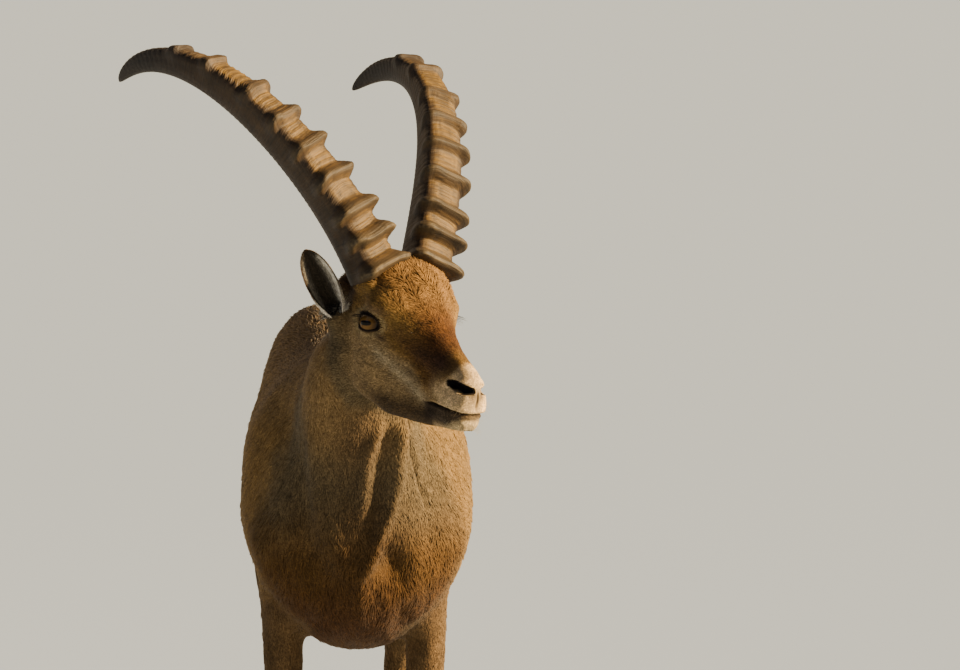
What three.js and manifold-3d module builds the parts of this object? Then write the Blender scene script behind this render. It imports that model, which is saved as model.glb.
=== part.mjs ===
// Alpine ibex: a young adult male, life size, standing square with its head turned to its left.
// Millimetres, +Z up. The animal faces -Y, so its left side is +X. The solids are laid out with
// the withers over x = 0, y = 0 and the soles at z = 0, and the whole group is then moved so that
// the bottom centre of its bounding box is the origin.
import * as THREE from "three";
import { mergeVertices } from "three/addons/utils/BufferGeometryUtils.js";
import Module from "manifold-3d";

const wasm = await Module();
wasm.setup();

// Clearance between two pieces that meet.
const GAP = 0.3;
const LEFT = 1;
const RIGHT = -1;

// Body sections from the buttocks to the inside of the skull. Each joins a point of the back or
// nape to a point of the underline or throat: back y and z, underline y and z, half width, level
// of the greatest width (0 at the underline, 1 at the back), power that squares the upper half
// (1 is an ellipse, less is squarer), sideways shift, and turn to the left in degrees.
const BODY = [
  [748, 724, 748, 672, 16, 0.5, 1, 0, 0],
  [739, 762, 739, 644, 58, 0.45, 0.95, 0, 0],
  [716, 800, 716, 618, 86, 0.4, 0.82, 0, 0],
  [676, 832, 676, 590, 100, 0.36, 0.74, 0, 0],
  [620, 852, 620, 558, 109, 0.37, 0.7, 0, 0],
  [550, 852, 550, 518, 119, 0.41, 0.74, 0, 0],
  [480, 841, 480, 482, 133, 0.46, 0.84, 0, 0],
  [400, 829, 400, 458, 144, 0.485, 0.96, 2, 0],
  [300, 825, 300, 445, 149.5, 0.5, 1, 3.5, 0],
  [180, 829, 180, 438, 150, 0.51, 1, 4, 0],
  [90, 839, 86, 436, 151, 0.505, 0.93, 4, 0],
  [30, 841, 14, 438, 150, 0.485, 0.88, 4, 0],
  [-8, 841, -50, 447, 146, 0.44, 0.82, 4, 0],
  [-38, 843, -104, 474, 130, 0.4, 0.8, 3, 0],
  [-66, 847, -142, 516, 110, 0.39, 0.8, 2, 0],
  [-94, 853, -163, 566, 92, 0.42, 0.84, 0, 0],
  [-122, 861, -175, 616, 82, 0.46, 0.88, 0, 0],
  [-152, 872, -188, 664, 77, 0.5, 0.9, 0, 3],
  [-184, 885, -208, 716, 75, 0.5, 0.9, 2, 9],
  [-216, 899, -232, 764, 73, 0.5, 0.9, 7, 19],
  [-248, 911, -256, 800, 66, 0.5, 0.9, 18, 29],
  [-276, 908, -284, 836, 44, 0.5, 0.95, 36, 35],
];
const BODY_RINGS = 37;
const BODY_SIDES = 28;

// Muscles and bones that stand out from the body's sides: centre behind the withers and above the
// floor, reach along and up, outward height.
const BODY_FORMS = [
  { name: "shoulder blade", y: 24, z: 722, reachY: 50, reachZ: 78, rise: 5 },
  { name: "upper arm", y: 20, z: 606, reachY: 62, reachZ: 52, rise: 5 },
  { name: "point of the shoulder", y: -84, z: 590, reachY: 34, reachZ: 40, rise: 9 },
  { name: "hollow behind the elbow", y: 128, z: 560, reachY: 30, reachZ: 70, rise: -5 },
  { name: "hollow of the flank", y: 470, z: 700, reachY: 42, reachZ: 62, rise: -9 },
  { name: "hip bone", y: 560, z: 806, reachY: 24, reachZ: 20, rise: 2.5 },
];

// The head: place of the point midway between the eyes, and its turn to the left, dip and tilt.
const HEAD_PLACE = new THREE.Vector3(64, -300, 895);
const HEAD_YAW = 35.7;
const HEAD_PITCH = 14.6;
const HEAD_ROLL = -3.8;

// Head sections from the back of the skull to the lips, in the head's own axes (forward, left,
// up): forward place, height of the top line, brow half width and height, side half width and
// height, jaw half width and height, height of the underline.
const HEAD = [
  [-94, 14, 20, 6, 28, -16, 20, -38, -48],
  [-82, 44, 36, 30, 47, -12, 36, -58, -74],
  [-56, 68, 44, 55, 60, 0, 47, -74, -97],
  [-28, 82, 49, 66, 65, 8, 50, -81, -107],
  [-2, 75, 51, 56, 66, 4, 49, -84, -110],
  [20, 61, 45, 42, 57, -4, 45, -86, -113],
  [40, 44, 33, 29, 46, -12, 40, -85, -111],
  [62, 26, 23.5, 13.5, 35, -20, 34, -83, -108.5],
  [88, 9.5, 17.5, 0.5, 28.5, -29, 29, -80, -104.5],
  [112, -1.5, 13.5, -8.5, 27, -37, 27, -75, -99.5],
  [134, -11, 13, -17.5, 24, -42, 25, -73, -95],
  [148, -19.5, 12.5, -26, 22, -45, 22, -71, -92],
  [157, -31.5, 9.5, -35.5, 16.5, -48, 17, -69, -88],
  [161.5, -44, 5, -46, 8, -53, 7, -64, -74],
];
const HEAD_RINGS = 28;
const HEAD_SIDES = 36;
// Half width of the flat of the underline, as a part of the jaw's.
const UNDERLINE_FLAT = 0.55;

// Forms of the face: centre forward and up, reach forward and up, outward height.
const HEAD_FORMS = [
  { name: "brow", f: 6, u: 26, reachF: 22, reachU: 14, rise: 7 },
  { name: "cheekbone", f: 8, u: -18, reachF: 30, reachU: 9, rise: 4 },
  { name: "chewing muscle", f: -6, u: -58, reachF: 30, reachU: 24, rise: 4 },
  { name: "hollow below the eye", f: 46, u: -34, reachF: 18, reachU: 16, rise: -3 },
  { name: "temple", f: -34, u: 24, reachF: 14, reachU: 14, rise: -5 },
  { name: "wing of the nostril", f: 146, u: -24, reachF: 10, reachU: 8, rise: 2.5 },
  { name: "upper lip", f: 146, u: -58, reachF: 16, reachU: 7, rise: 3 },
  { name: "lower lip", f: 138, u: -80, reachF: 16, reachU: 8, rise: 2 },
];

// Eye: ball, lids that wrap it, and the almond opening between them.
const EYE = { f: -8, l: 57, u: 1.5, radius: 16.5, lid: 3.6, aimF: 0.35, aimU: 0.04 };
const LIDS = { length: 32, height: 20, tilt: 9 };
const EYE_SEGMENTS = 16;
const EYE_ROWS = 11;

// Nostril: a slanting oval pit on each side of the nose.
const NOSTRIL = { f: 145, l: 19.5, u: -33.5, length: 29, height: 12.5, depth: 15, slope: 24, turn: 26 };

// Mouth: a slit round the muzzle from corner to corner.
const MOUTH = { corner: 99, front: 185, halfWidth: 60, height: -65.5, slit: 2.4, depth: 6.5, rise: 2.5 };

// Ears: length and root, stump on the skull and how far it reaches inside, thickness and how much
// of it is lost towards edge and tip, depth of the hollow behind, tip's reach forward, and where
// the curl's middle lies in parts of its radius.
const EAR = {
  length: 118,
  rootF: -71,
  rootL: 64,
  rootU: -8,
  stump: 12,
  inside: 26,
  flare: 9,
  thickness: 4.6,
  thinning: 0.45,
  hollow: 6,
  tipForward: 5,
  cupMiddle: 0.55,
};
// The way each ear points and opens, in the head's axes; the left one is laid further back.
const EAR_AIMS = [
  { side: RIGHT, aim: [0.03, -0.668, 0.744], opening: [0.88, -0.46, -0.12] },
  { side: LEFT, aim: [-0.5, 0.6, 0.62], opening: [0.62, 0.78, 0.0] },
];
// Ear sections from root to tip: part of the length, radius of the curl, half angle of the curl.
const EAR_ROWS = [
  [0, 13, 148],
  [0.1, 14.5, 128],
  [0.25, 17.5, 106],
  [0.45, 19.5, 86],
  [0.65, 18.5, 74],
  [0.82, 15, 64],
  [0.93, 9.5, 54],
  [1, 3, 40],
];
const EAR_RINGS = 11;
const EAR_SHEET_POINTS = 9;

// Horns: length along the middle, root, and the way they rise, sweep back and spread. The angles
// are polynomials of the part of the length.
const HORN = {
  length: 514,
  rootF: -53,
  rootL: 43,
  rootU: 59,
  sunk: 12,
  sweep: [30.1, 64.5, -20.7, 55.5, 15.3],
  spread: [21.4, 27.2, -43.6, -13.1],
  depth: 65,
  width: 70,
  taper: 0.248,
  bluntness: 2.4,
};
// Knobs across the front of each horn: places along it, outward height at the root's end and at the
// tip's, part of that height that reaches sideways, half thickness, and the profile of one knob
// from its steep underside to its sloping upper side (distance in half thicknesses, part of height).
const KNOBS = {
  places: [0, 38.5, 74, 123, 171, 217.5, 268.5, 335.5, 388],
  rise: 21,
  riseAtTip: 7,
  sideways: 0.7,
  halfThickness: 8.5,
  profile: [[-1.15, 0], [-0.6, 1], [0.5, 0.94], [1.5, 0]],
};
// Sections of the smooth tip, as parts of the length.
const HORN_TIP_STOPS = [0.84, 0.89, 0.93, 0.963, 0.987, 0.999];
const HORN_SIDES = 14;
// Length of the horn that the skull makes room for, and how far its boss reaches into the skull.
const HORN_SOCKET = 100;
const HORN_BOSS = 34;

// Leg sections at a height, in rows of: height, sideways place of the middle, half width, front
// edge and back edge behind the withers.
const FORELEG = [
  [650, 90, 34, -66, 84],
  [570, 92, 40, -66, 90],
  [512, 92, 35, -54, 88],
  [470, 94, 30, -42, 70],
  [430, 94, 27.5, -34, 52],
  [380, 92, 25, -27, 39],
  [330, 90, 23, -22, 31],
  [296, 89, 24, -24, 30],
  [268, 88, 25.5, -27, 29],
  [240, 87.5, 23, -24, 26],
  [210, 87, 18.5, -17, 22],
  [170, 86.5, 17, -15, 21],
  [130, 86, 18, -16, 23],
  [104, 86, 22.5, -20, 29],
  [84, 86, 24, -22, 26],
  [64, 86, 24.5, -27, 20],
  [46, 86, 27.5, -35, 20],
  [18, 86, 29, -44, 20],
];
const HINDLEG = [
  [765, 60, 34, 604, 700],
  [700, 72, 46, 556, 736],
  [640, 79, 53, 526, 750],
  [580, 84, 50, 514, 742],
  [530, 87, 44, 522, 724],
  [480, 88, 37, 548, 706],
  [440, 87, 31, 582, 703],
  [400, 86, 26.5, 620, 714],
  [370, 85, 24, 647, 730],
  [345, 84, 23, 664, 748],
  [320, 83, 23, 673, 750],
  [295, 82, 21, 678, 738],
  [268, 81, 18.5, 682, 727],
  [225, 80, 17, 684, 722],
  [180, 80, 17, 682, 719],
  [135, 80, 18, 679, 718],
  [106, 80, 22.5, 674, 723],
  [86, 80, 24, 668, 718],
  [66, 80, 24.5, 661, 712],
  [46, 80, 27.5, 653, 710],
  [18, 80, 29, 644, 710],
];
const LEG_SIDES = 16;
// How far each foot is set back from square, and the height below which the leg follows it.
const STANCE_TOP = 560;
const LEGS = [
  { name: "foreleg_left", rows: FORELEG, side: LEFT, back: -10, joint: 256, fore: true },
  { name: "foreleg_right", rows: FORELEG, side: RIGHT, back: 8, joint: 256, fore: true },
  { name: "hindleg_left", rows: HINDLEG, side: LEFT, back: 26, joint: 306, fore: false },
  { name: "hindleg_right", rows: HINDLEG, side: RIGHT, back: -22, joint: 306, fore: false },
];

// Hoof claws: two to a foot, cloven, with flat soles.
const HOOF = {
  width: 28,
  cleft: 3.2,
  length: 76,
  height: 58,
  toeSlope: 0.5,
  ahead: 17,
  coronetToe: 45,
  coronetFall: 0.4,
  sides: 14,
};
// Dewclaws: two small pointed claws behind each fetlock.
const DEWCLAW = { z: 96, spread: 12.5, radius: 8, length: 25, sunk: 9, dip: 38 };

// Tail: sections of y, z, half width and half thickness along its middle.
const TAIL = [
  [712, 786, 26, 18],
  [744, 776, 25, 17],
  [768, 752, 25, 15],
  [782, 716, 24, 13],
  [790, 680, 17, 10],
  [793, 656, 5, 4],
];

// Colours and finishes of the surfaces.
const FINISH = {
  coat: { color: 0x9a7448, roughness: 0.92 },
  legs: { color: 0x5f4630, roughness: 0.92 },
  ear: { color: 0x7d6246, roughness: 0.92 },
  tail: { color: 0x3a2a1f, roughness: 0.94 },
  horn: { color: 0x8a6f4c, roughness: 0.7 },
  hoof: { color: 0x2f2822, roughness: 0.55 },
  eye: { color: 0x9a6a1c, roughness: 0.1 },
};

const degrees = (angle) => (angle * Math.PI) / 180;
const vector = (x, y, z) => new THREE.Vector3(x, y, z);
const power = (value, exponent) => Math.sign(value) * Math.abs(value) ** exponent;
const clamp = (value, low, high) => Math.min(high, Math.max(low, value));

// A smooth curve through rows of numbers: the first column is where the row stands, and the
// result gives every column between rows by cubic steps whose slopes follow the neighbours.
function through(rows) {
  const slope = (i, k) => {
    const a = rows[Math.max(0, i - 1)];
    const b = rows[Math.min(rows.length - 1, i + 1)];
    return (b[k] - a[k]) / (b[0] - a[0]);
  };
  return (at) => {
    const up = rows[rows.length - 1][0] > rows[0][0];
    let i = 0;
    while (i < rows.length - 2 && (up ? at > rows[i + 1][0] : at < rows[i + 1][0])) i += 1;
    const [a, b] = [rows[i], rows[i + 1]];
    const step = b[0] - a[0];
    const t = clamp((at - a[0]) / step, 0, 1);
    return a.map((_, k) => {
      if (k === 0) return at;
      const [h, t2, t3] = [step, t * t, t * t * t];
      return (
        (2 * t3 - 3 * t2 + 1) * a[k] +
        (t3 - 2 * t2 + t) * h * slope(i, k) +
        (3 * t2 - 2 * t3) * b[k] +
        (t3 - t2) * h * slope(i + 1, k)
      );
    });
  };
}

// Steps from one value to another, closer together near both ends.
function eased(from, to, count) {
  return Array.from({ length: count }, (_, i) => {
    const t = i / (count - 1);
    return from + (to - from) * (t - (0.6 * Math.sin(2 * Math.PI * t)) / (2 * Math.PI));
  });
}

// Outward height of a set of rounded forms at a place on a side.
function risen(forms, along, up, keys) {
  return forms.reduce((sum, form) => {
    const a = (along - form[keys[0]]) / form[keys[2]];
    const b = (up - form[keys[1]]) / form[keys[3]];
    return sum + form.rise * Math.exp(-(a * a + b * b));
  }, 0);
}

// Triangles with their corners merged and turned so that they face outwards.
function closed(positions, index) {
  let volume = 0;
  const corner = (i) => vector(...positions.slice(3 * i, 3 * i + 3));
  for (let i = 0; i < index.length; i += 3) {
    volume += corner(index[i]).dot(corner(index[i + 1]).cross(corner(index[i + 2])));
  }
  if (volume < 0) index.reverse();
  const geometry = new THREE.BufferGeometry();
  geometry.setAttribute("position", new THREE.Float32BufferAttribute(positions, 3));
  geometry.setIndex(index);
  return geometry;
}

// A geometry without an index, turned so that it faces outwards again after a mirroring.
function outward(geometry) {
  const positions = Array.from(geometry.attributes.position.array);
  return closed(positions, Array.from({ length: positions.length / 3 }, (_, i) => i));
}

// A closed skin over a row of rings with equal counts of points, capped at both ends.
function loft(rings) {
  const sides = rings[0].length;
  const positions = rings.flat().flatMap((p) => [p.x, p.y, p.z]);
  const index = [];
  for (let r = 0; r + 1 < rings.length; r += 1) {
    for (let i = 0; i < sides; i += 1) {
      const j = (i + 1) % sides;
      const [a, b] = [r * sides + i, r * sides + j];
      index.push(a, b, b + sides, a, b + sides, a + sides);
    }
  }
  for (const [ring, first] of [[rings[0], 0], [rings.at(-1), (rings.length - 1) * sides]]) {
    const middle = ring.reduce((sum, p) => sum.add(p), vector(0, 0, 0)).divideScalar(sides);
    const hub = positions.length / 3;
    positions.push(middle.x, middle.y, middle.z);
    for (let i = 0; i < sides; i += 1) {
      const j = (i + 1) % sides;
      if (first === 0) index.push(hub, first + j, first + i);
      else index.push(hub, first + i, first + j);
    }
  }
  return closed(positions, index);
}

// A closed geometry as a solid that can be joined and cut.
function solid(geometry) {
  const bare = geometry.clone();
  bare.deleteAttribute("normal");
  bare.deleteAttribute("uv");
  const merged = mergeVertices(bare, 1e-4);
  return new wasm.Manifold(
    new wasm.Mesh({
      numProp: 3,
      vertProperties: new Float32Array(merged.attributes.position.array),
      triVerts: new Uint32Array(merged.index.array),
    }),
  );
}

// The largest closed surface of a solid.
function largest(shape) {
  return shape.decompose().sort((a, b) => b.volume() - a.volume())[0];
}

function join(shapes) {
  return shapes.reduce((all, shape) => all.add(shape));
}

// A solid's surface as a geometry.
function surface(shape) {
  const mesh = shape.getMesh();
  const positions = new Float32Array((mesh.vertProperties.length / mesh.numProp) * 3);
  for (let i = 0; i * 3 < positions.length; i += 1) {
    for (let k = 0; k < 3; k += 1) positions[3 * i + k] = mesh.vertProperties[mesh.numProp * i + k];
  }
  const geometry = new THREE.BufferGeometry();
  geometry.setAttribute("position", new THREE.BufferAttribute(positions, 3));
  geometry.setIndex(new THREE.BufferAttribute(new Uint32Array(mesh.triVerts), 1));
  return geometry;
}

// A prism over a convex outline of (y, z) points, from one x to another, drawn in on every side.
function prism(outline, fromX, toX, inset = 0) {
  const middle = outline.reduce((s, p) => [s[0] + p[0], s[1] + p[1]], [0, 0]).map((v) => v / outline.length);
  const lines = outline.map((p, i) => {
    const q = outline[(i + 1) % outline.length];
    let [nx, ny] = [q[1] - p[1], p[0] - q[0]];
    const size = Math.hypot(nx, ny);
    [nx, ny] = [nx / size, ny / size];
    if ((middle[0] - p[0]) * nx + (middle[1] - p[1]) * ny < 0) [nx, ny] = [-nx, -ny];
    return { nx, ny, d: p[0] * nx + p[1] * ny + inset };
  });
  const corners = lines.map((b, i) => {
    const a = lines[(i + lines.length - 1) % lines.length];
    const det = a.nx * b.ny - a.ny * b.nx;
    return new THREE.Vector2((a.d * b.ny - a.ny * b.d) / det, (a.nx * b.d - a.d * b.nx) / det);
  });
  const geometry = new THREE.ExtrudeGeometry(new THREE.Shape(corners), {
    depth: toX - fromX - 2 * inset,
    bevelEnabled: false,
  });
  geometry.translate(0, 0, fromX + inset);
  geometry.applyMatrix4(new THREE.Matrix4().makeBasis(vector(0, 1, 0), vector(0, 0, 1), vector(1, 0, 0)));
  return geometry;
}

// Parts a solid along a region's faces, leaving the clearance between the two results.
function part(whole, region) {
  return [largest(whole.intersect(region(GAP))), largest(whole.subtract(region(0)))];
}

// The head's axes, forward, left and up, as a matrix from head coordinates to the animal's.
function headMatrix() {
  const [yaw, pitch, roll] = [HEAD_YAW, HEAD_PITCH, HEAD_ROLL].map(degrees);
  const forward = vector(Math.sin(yaw) * Math.cos(pitch), -Math.cos(yaw) * Math.cos(pitch), -Math.sin(pitch));
  const level = vector(Math.cos(yaw), Math.sin(yaw), 0);
  const above = forward.clone().cross(level);
  const left = level.clone().multiplyScalar(Math.cos(roll)).addScaledVector(above, Math.sin(roll));
  const up = above.clone().multiplyScalar(Math.cos(roll)).addScaledVector(level, -Math.sin(roll));
  return new THREE.Matrix4().makeBasis(forward, left, up).setPosition(HEAD_PLACE);
}
const HEAD_FRAME = headMatrix();
const inHead = (geometry) => geometry.applyMatrix4(HEAD_FRAME);

// Trunk and neck in one: squared ovals between the back and the underline, with the muscles
// raised on both sides.
function bodySkin() {
  const at = through(BODY.map((row, i) => [i, ...row]));
  const rings = Array.from({ length: BODY_RINGS }, (_, r) => {
    const row = at((r * (BODY.length - 1)) / (BODY_RINGS - 1));
    const [, backY, backZ, underY, underZ, half, level, square, shift, turn] = row;
    const side = vector(Math.cos(degrees(turn)), Math.sin(degrees(turn)), 0);
    const rise = vector(0, backY - underY, backZ - underZ);
    const middle = vector(shift, underY, underZ).addScaledVector(rise, level);
    return Array.from({ length: BODY_SIDES }, (_, i) => {
      const angle = (2 * Math.PI * i) / BODY_SIDES;
      const [c, s] = [Math.cos(angle), Math.sin(angle)];
      const shape = s > 0 ? square : 1;
      const point = middle.clone().addScaledVector(rise, (s > 0 ? 1 - level : level) * power(s, shape));
      const lift = risen(BODY_FORMS, point.y, point.z, ["y", "z", "reachY", "reachZ"]);
      const out = half * power(c, shape) + Math.sign(c) * lift * Math.min(1, Math.abs(c) * 2.5);
      return point.addScaledVector(side, out);
    });
  });
  return solid(loft(rings));
}

// A closed smooth curve through points of a section, in equal counts between the points.
function closedCurve(points, count) {
  const curve = new THREE.CatmullRomCurve3(points, true, "catmullrom", 0.5);
  return Array.from({ length: count }, (_, i) => curve.getPoint(i / count));
}

// Skull and face: sections through the top line, brow, side, jaw and underline.
function skull() {
  const at = through(HEAD);
  const rings = eased(HEAD[0][0], HEAD.at(-1)[0], HEAD_RINGS).map((f) => {
    const [, top, browL, browU, sideL, sideU, jawL, jawU, under] = at(f);
    const points = [
      vector(f, 0, top),
      vector(f, browL, browU),
      vector(f, sideL, sideU),
      vector(f, jawL, jawU),
      vector(f, jawL * UNDERLINE_FLAT, under + 1.5),
      vector(f, 0, under),
      vector(f, -jawL * UNDERLINE_FLAT, under + 1.5),
      vector(f, -jawL, jawU),
      vector(f, -sideL, sideU),
      vector(f, -browL, browU),
    ];
    return closedCurve(points, HEAD_SIDES).map((p) => {
      const outward = clamp(Math.abs(p.y) / 22, 0, 1);
      const lift = outward * risen(HEAD_FORMS, f, p.z, ["f", "u", "reachF", "reachU"]);
      return vector(p.x, p.y + Math.sign(p.y) * lift, p.z);
    });
  });
  return solid(inHead(loft(rings)));
}

// Matrix that puts a shape's z axis along a direction and its x axis as near to a hint as can be.
function aimed(place, direction, hint) {
  const z = direction.clone().normalize();
  const x = hint.clone().addScaledVector(z, -hint.dot(z)).normalize();
  return new THREE.Matrix4().makeBasis(x, z.clone().cross(x), z).setPosition(place);
}

// Matrix that puts an eye's shapes, drawn round the z axis, in their place in the head.
function eyeFrame(side) {
  const aim = vector(EYE.aimF, side * Math.sqrt(1 - EYE.aimF ** 2), EYE.aimU);
  return aimed(vector(EYE.f, side * EYE.l, EYE.u), aim, vector(1, 0, 0));
}

function eyeball(side, radius) {
  const ball = new THREE.SphereGeometry(radius, EYE_SEGMENTS, EYE_ROWS);
  ball.rotateX(Math.PI / 2);
  return solid(inHead(ball.applyMatrix4(eyeFrame(side))));
}

// The opening between the lids: an almond carried outwards from the ball's middle, its outer
// corner a little lower.
function fissure(side) {
  const half = LIDS.length / 2;
  const bow = LIDS.height / 2;
  const up = side === LEFT ? -1 : 1;
  const outline = new THREE.Shape();
  outline.moveTo(-half, 0);
  outline.bezierCurveTo(-half * 0.6, bow * 1.25, half * 0.3, bow * 1.35, half, -bow * 0.12);
  outline.bezierCurveTo(half * 0.45, -bow * 1.2, -half * 0.55, -bow * 1.15, -half, 0);
  const almond = new THREE.ExtrudeGeometry(outline, { depth: EYE.radius * 2, bevelEnabled: false, curveSegments: 7 });
  almond.rotateZ(degrees(LIDS.tilt));
  almond.scale(1, up, 1);
  return solid(inHead(outward(almond.applyMatrix4(eyeFrame(side)))));
}

function nostril(side) {
  const pit = new THREE.SphereGeometry(0.5, 12, 8);
  pit.scale(NOSTRIL.length, NOSTRIL.depth, NOSTRIL.height);
  pit.rotateY(degrees(NOSTRIL.slope));
  pit.rotateZ(degrees(-side * NOSTRIL.turn));
  pit.translate(NOSTRIL.f, side * NOSTRIL.l, NOSTRIL.u);
  return solid(inHead(pit));
}

// A thin plate round the muzzle, open at the back, that cuts the line of the mouth.
function mouth() {
  const inner = (f) => clamp(at(f) - MOUTH.depth, 1, MOUTH.halfWidth);
  const widths = through(HEAD.map((row) => [row[0], row[6]]));
  const at = (f) => widths(f)[1];
  const stops = Array.from({ length: 7 }, (_, i) => MOUTH.corner - 2 + ((154 - MOUTH.corner) * i) / 6);
  const outline = new THREE.Shape([
    new THREE.Vector2(MOUTH.corner, -MOUTH.halfWidth),
    new THREE.Vector2(MOUTH.front, -MOUTH.halfWidth),
    new THREE.Vector2(MOUTH.front, MOUTH.halfWidth),
    new THREE.Vector2(MOUTH.corner, MOUTH.halfWidth),
    ...stops.map((f) => new THREE.Vector2(f, inner(f))),
    ...stops.reverse().map((f) => new THREE.Vector2(f, -inner(f))),
  ]);
  const plate = new THREE.ExtrudeGeometry(outline, { depth: MOUTH.slit, bevelEnabled: false });
  plate.translate(-MOUTH.corner, 0, -MOUTH.slit / 2);
  plate.rotateY(-Math.atan2(MOUTH.rise, 50));
  plate.translate(MOUTH.corner, 0, MOUTH.height - MOUTH.rise);
  return solid(inHead(plate));
}

// Horn: the middle line, its direction, and the front and outer side of the section.
function hornLine(side) {
  const steps = 200;
  const line = [];
  let middle = vector(HORN.rootF, side * HORN.rootL, HORN.rootU);
  const sum = (terms, s) => degrees(terms.reduce((total, term, k) => total + term * s ** k, 0));
  const direction = (s) => {
    const [back, out] = [sum(HORN.sweep, s), sum(HORN.spread, s)];
    return vector(-Math.sin(back) * Math.cos(out), side * Math.sin(out), Math.cos(back) * Math.cos(out));
  };
  for (let i = 0; i <= steps; i += 1) {
    const s = i / steps;
    const along = direction(s);
    const back = sum(HORN.sweep, s);
    const front = vector(Math.cos(back), 0, Math.sin(back));
    front.addScaledVector(along, -front.dot(along)).normalize();
    const outer = front.clone().cross(along).normalize();
    if (outer.y * side < 0) outer.negate();
    line.push({ middle: middle.clone(), along, front, outer });
    middle = middle.clone().addScaledVector(direction(s + 0.5 / steps), HORN.length / steps);
  }
  return (distance) => {
    const s = clamp(distance / HORN.length, 0, 1) * steps;
    const [a, b] = [line[Math.floor(s)], line[Math.min(steps, Math.floor(s) + 1)]];
    const t = s - Math.floor(s);
    const mix = (key) => a[key].clone().lerp(b[key], t);
    const place = { middle: mix("middle"), along: mix("along"), front: mix("front"), outer: mix("outer") };
    if (distance < 0) place.middle.addScaledVector(place.along, distance);
    return place;
  };
}

// Outward height of the knobs at a distance along a horn.
function knobHeight(distance) {
  return KNOBS.places.reduce((sum, at, i) => {
    const rise = KNOBS.rise + ((KNOBS.riseAtTip - KNOBS.rise) * i) / (KNOBS.places.length - 1);
    const away = (distance - at) / KNOBS.halfThickness;
    const next = KNOBS.profile.findIndex(([place]) => place >= away);
    if (next <= 0) return sum;
    const [[fromPlace, fromPart], [toPlace, toPart]] = KNOBS.profile.slice(next - 1, next + 1);
    return sum + rise * (fromPart + ((toPart - fromPart) * (away - fromPlace)) / (toPlace - fromPlace));
  }, 0);
}

// A horn's section at a distance along it: broad flat front, narrower back, knobs over the front.
function hornRing(place, distance, side) {
  const s = clamp(distance / HORN.length, 0, 1);
  const size = (1 - HORN.taper * s) * Math.sqrt(Math.max(1 - s ** HORN.bluntness, 0.004));
  const knob = knobHeight(distance);
  return Array.from({ length: HORN_SIDES }, (_, i) => {
    const angle = (2 * Math.PI * (i + 0.5)) / HORN_SIDES;
    const [c, d] = [Math.cos(angle), Math.sin(angle)];
    const front = (HORN.depth / 2) * size * power(d, 0.78);
    const out = (HORN.width / 2) * size * (0.82 + 0.18 * d) * power(c, 0.72);
    const share = clamp((d + 0.35) / 0.75, 0, 1) * knob;
    return place.middle
      .clone()
      .addScaledVector(place.front, front + share * 0.95 * clamp(d + 0.2, 0, 1))
      .addScaledVector(place.outer, out + share * KNOBS.sideways * c);
  });
}

// Distances along a horn where it has a section: four on each knob and one between knobs.
function hornStops() {
  const stops = new Set([-HORN.sunk, ...HORN_TIP_STOPS.map((part) => part * HORN.length)]);
  KNOBS.places.forEach((at, i) => {
    for (const [place] of KNOBS.profile) stops.add(at + place * KNOBS.halfThickness);
    const next = KNOBS.places[i + 1];
    if (next !== undefined && next - at > 4 * KNOBS.halfThickness) stops.add((at + next) / 2);
  });
  return [...stops].filter((at) => at >= -HORN.sunk).sort((a, b) => a - b);
}

function horn(side) {
  const line = hornLine(side);
  const stops = hornStops().map((at) => (at === -HORN.sunk ? at + GAP : at));
  return solid(inHead(loft(stops.map((at) => hornRing(line(at), at, side)))));
}

// The boss of the skull that carries a horn.
function hornBoss(side) {
  const line = hornLine(side);
  const rings = [-HORN.sunk - HORN_BOSS, -HORN.sunk].map((at) => hornRing(line(at), -HORN.sunk, side));
  return solid(inHead(loft(rings)));
}

// Room for the horn above its boss where the forehead would reach into it.
function hornSocket(side) {
  const line = hornLine(side);
  const rings = hornStops()
    .filter((at) => at < HORN_SOCKET)
    .map((at) => {
      const place = line(at);
      return hornRing(place, at, side).map((p) => {
        const out = p.clone().sub(place.middle);
        return place.middle.clone().addScaledVector(out, 1 + (2 * GAP) / out.length());
      });
    });
  return solid(inHead(loft(rings)));
}

// Where an ear starts, the way it points, the way its cup opens, and the way across the cup.
function earFrame({ side, aim, opening }) {
  const axis = vector(...aim).normalize();
  const mouthWay = vector(...opening);
  mouthWay.addScaledVector(axis, -mouthWay.dot(axis)).normalize();
  const root = vector(EAR.rootF, side * EAR.rootL, EAR.rootU);
  return { axis, mouthWay, across: axis.clone().cross(mouthWay), root };
}

// An ear: a curled sheet that is a tube at the root and opens towards the tip, thinner at its edge.
function ear(setting) {
  const { axis, mouthWay, across, root } = earFrame(setting);
  const at = through(EAR_ROWS);
  const rings = Array.from({ length: EAR_RINGS }, (_, r) => {
    const t = r / (EAR_RINGS - 1);
    const [, radius, half] = at(t);
    const distance = EAR.stump + GAP + (EAR.length - EAR.stump) * t;
    const middle = root
      .clone()
      .addScaledVector(axis, distance)
      .addScaledVector(mouthWay, -EAR.hollow * Math.sin(Math.PI * t) + EAR.tipForward * t * t);
    const sheet = (offset, turn) => {
      const angle = degrees(half) * turn;
      const reach = radius + offset * (1 - EAR.thinning * Math.abs(turn) ** 3);
      return middle
        .clone()
        .addScaledVector(mouthWay, radius * EAR.cupMiddle - reach * Math.cos(angle))
        .addScaledVector(across, reach * Math.sin(angle));
    };
    const thickness = EAR.thickness * (1 - EAR.thinning * t);
    const turns = Array.from({ length: EAR_SHEET_POINTS }, (_, i) => -1 + (2 * i) / (EAR_SHEET_POINTS - 1));
    return [
      ...turns.map((turn) => sheet(thickness / 2, turn)),
      ...turns.reverse().map((turn) => sheet(-Math.min(thickness / 2, radius * 0.6), turn)),
    ];
  });
  return solid(inHead(loft(rings)));
}

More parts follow.
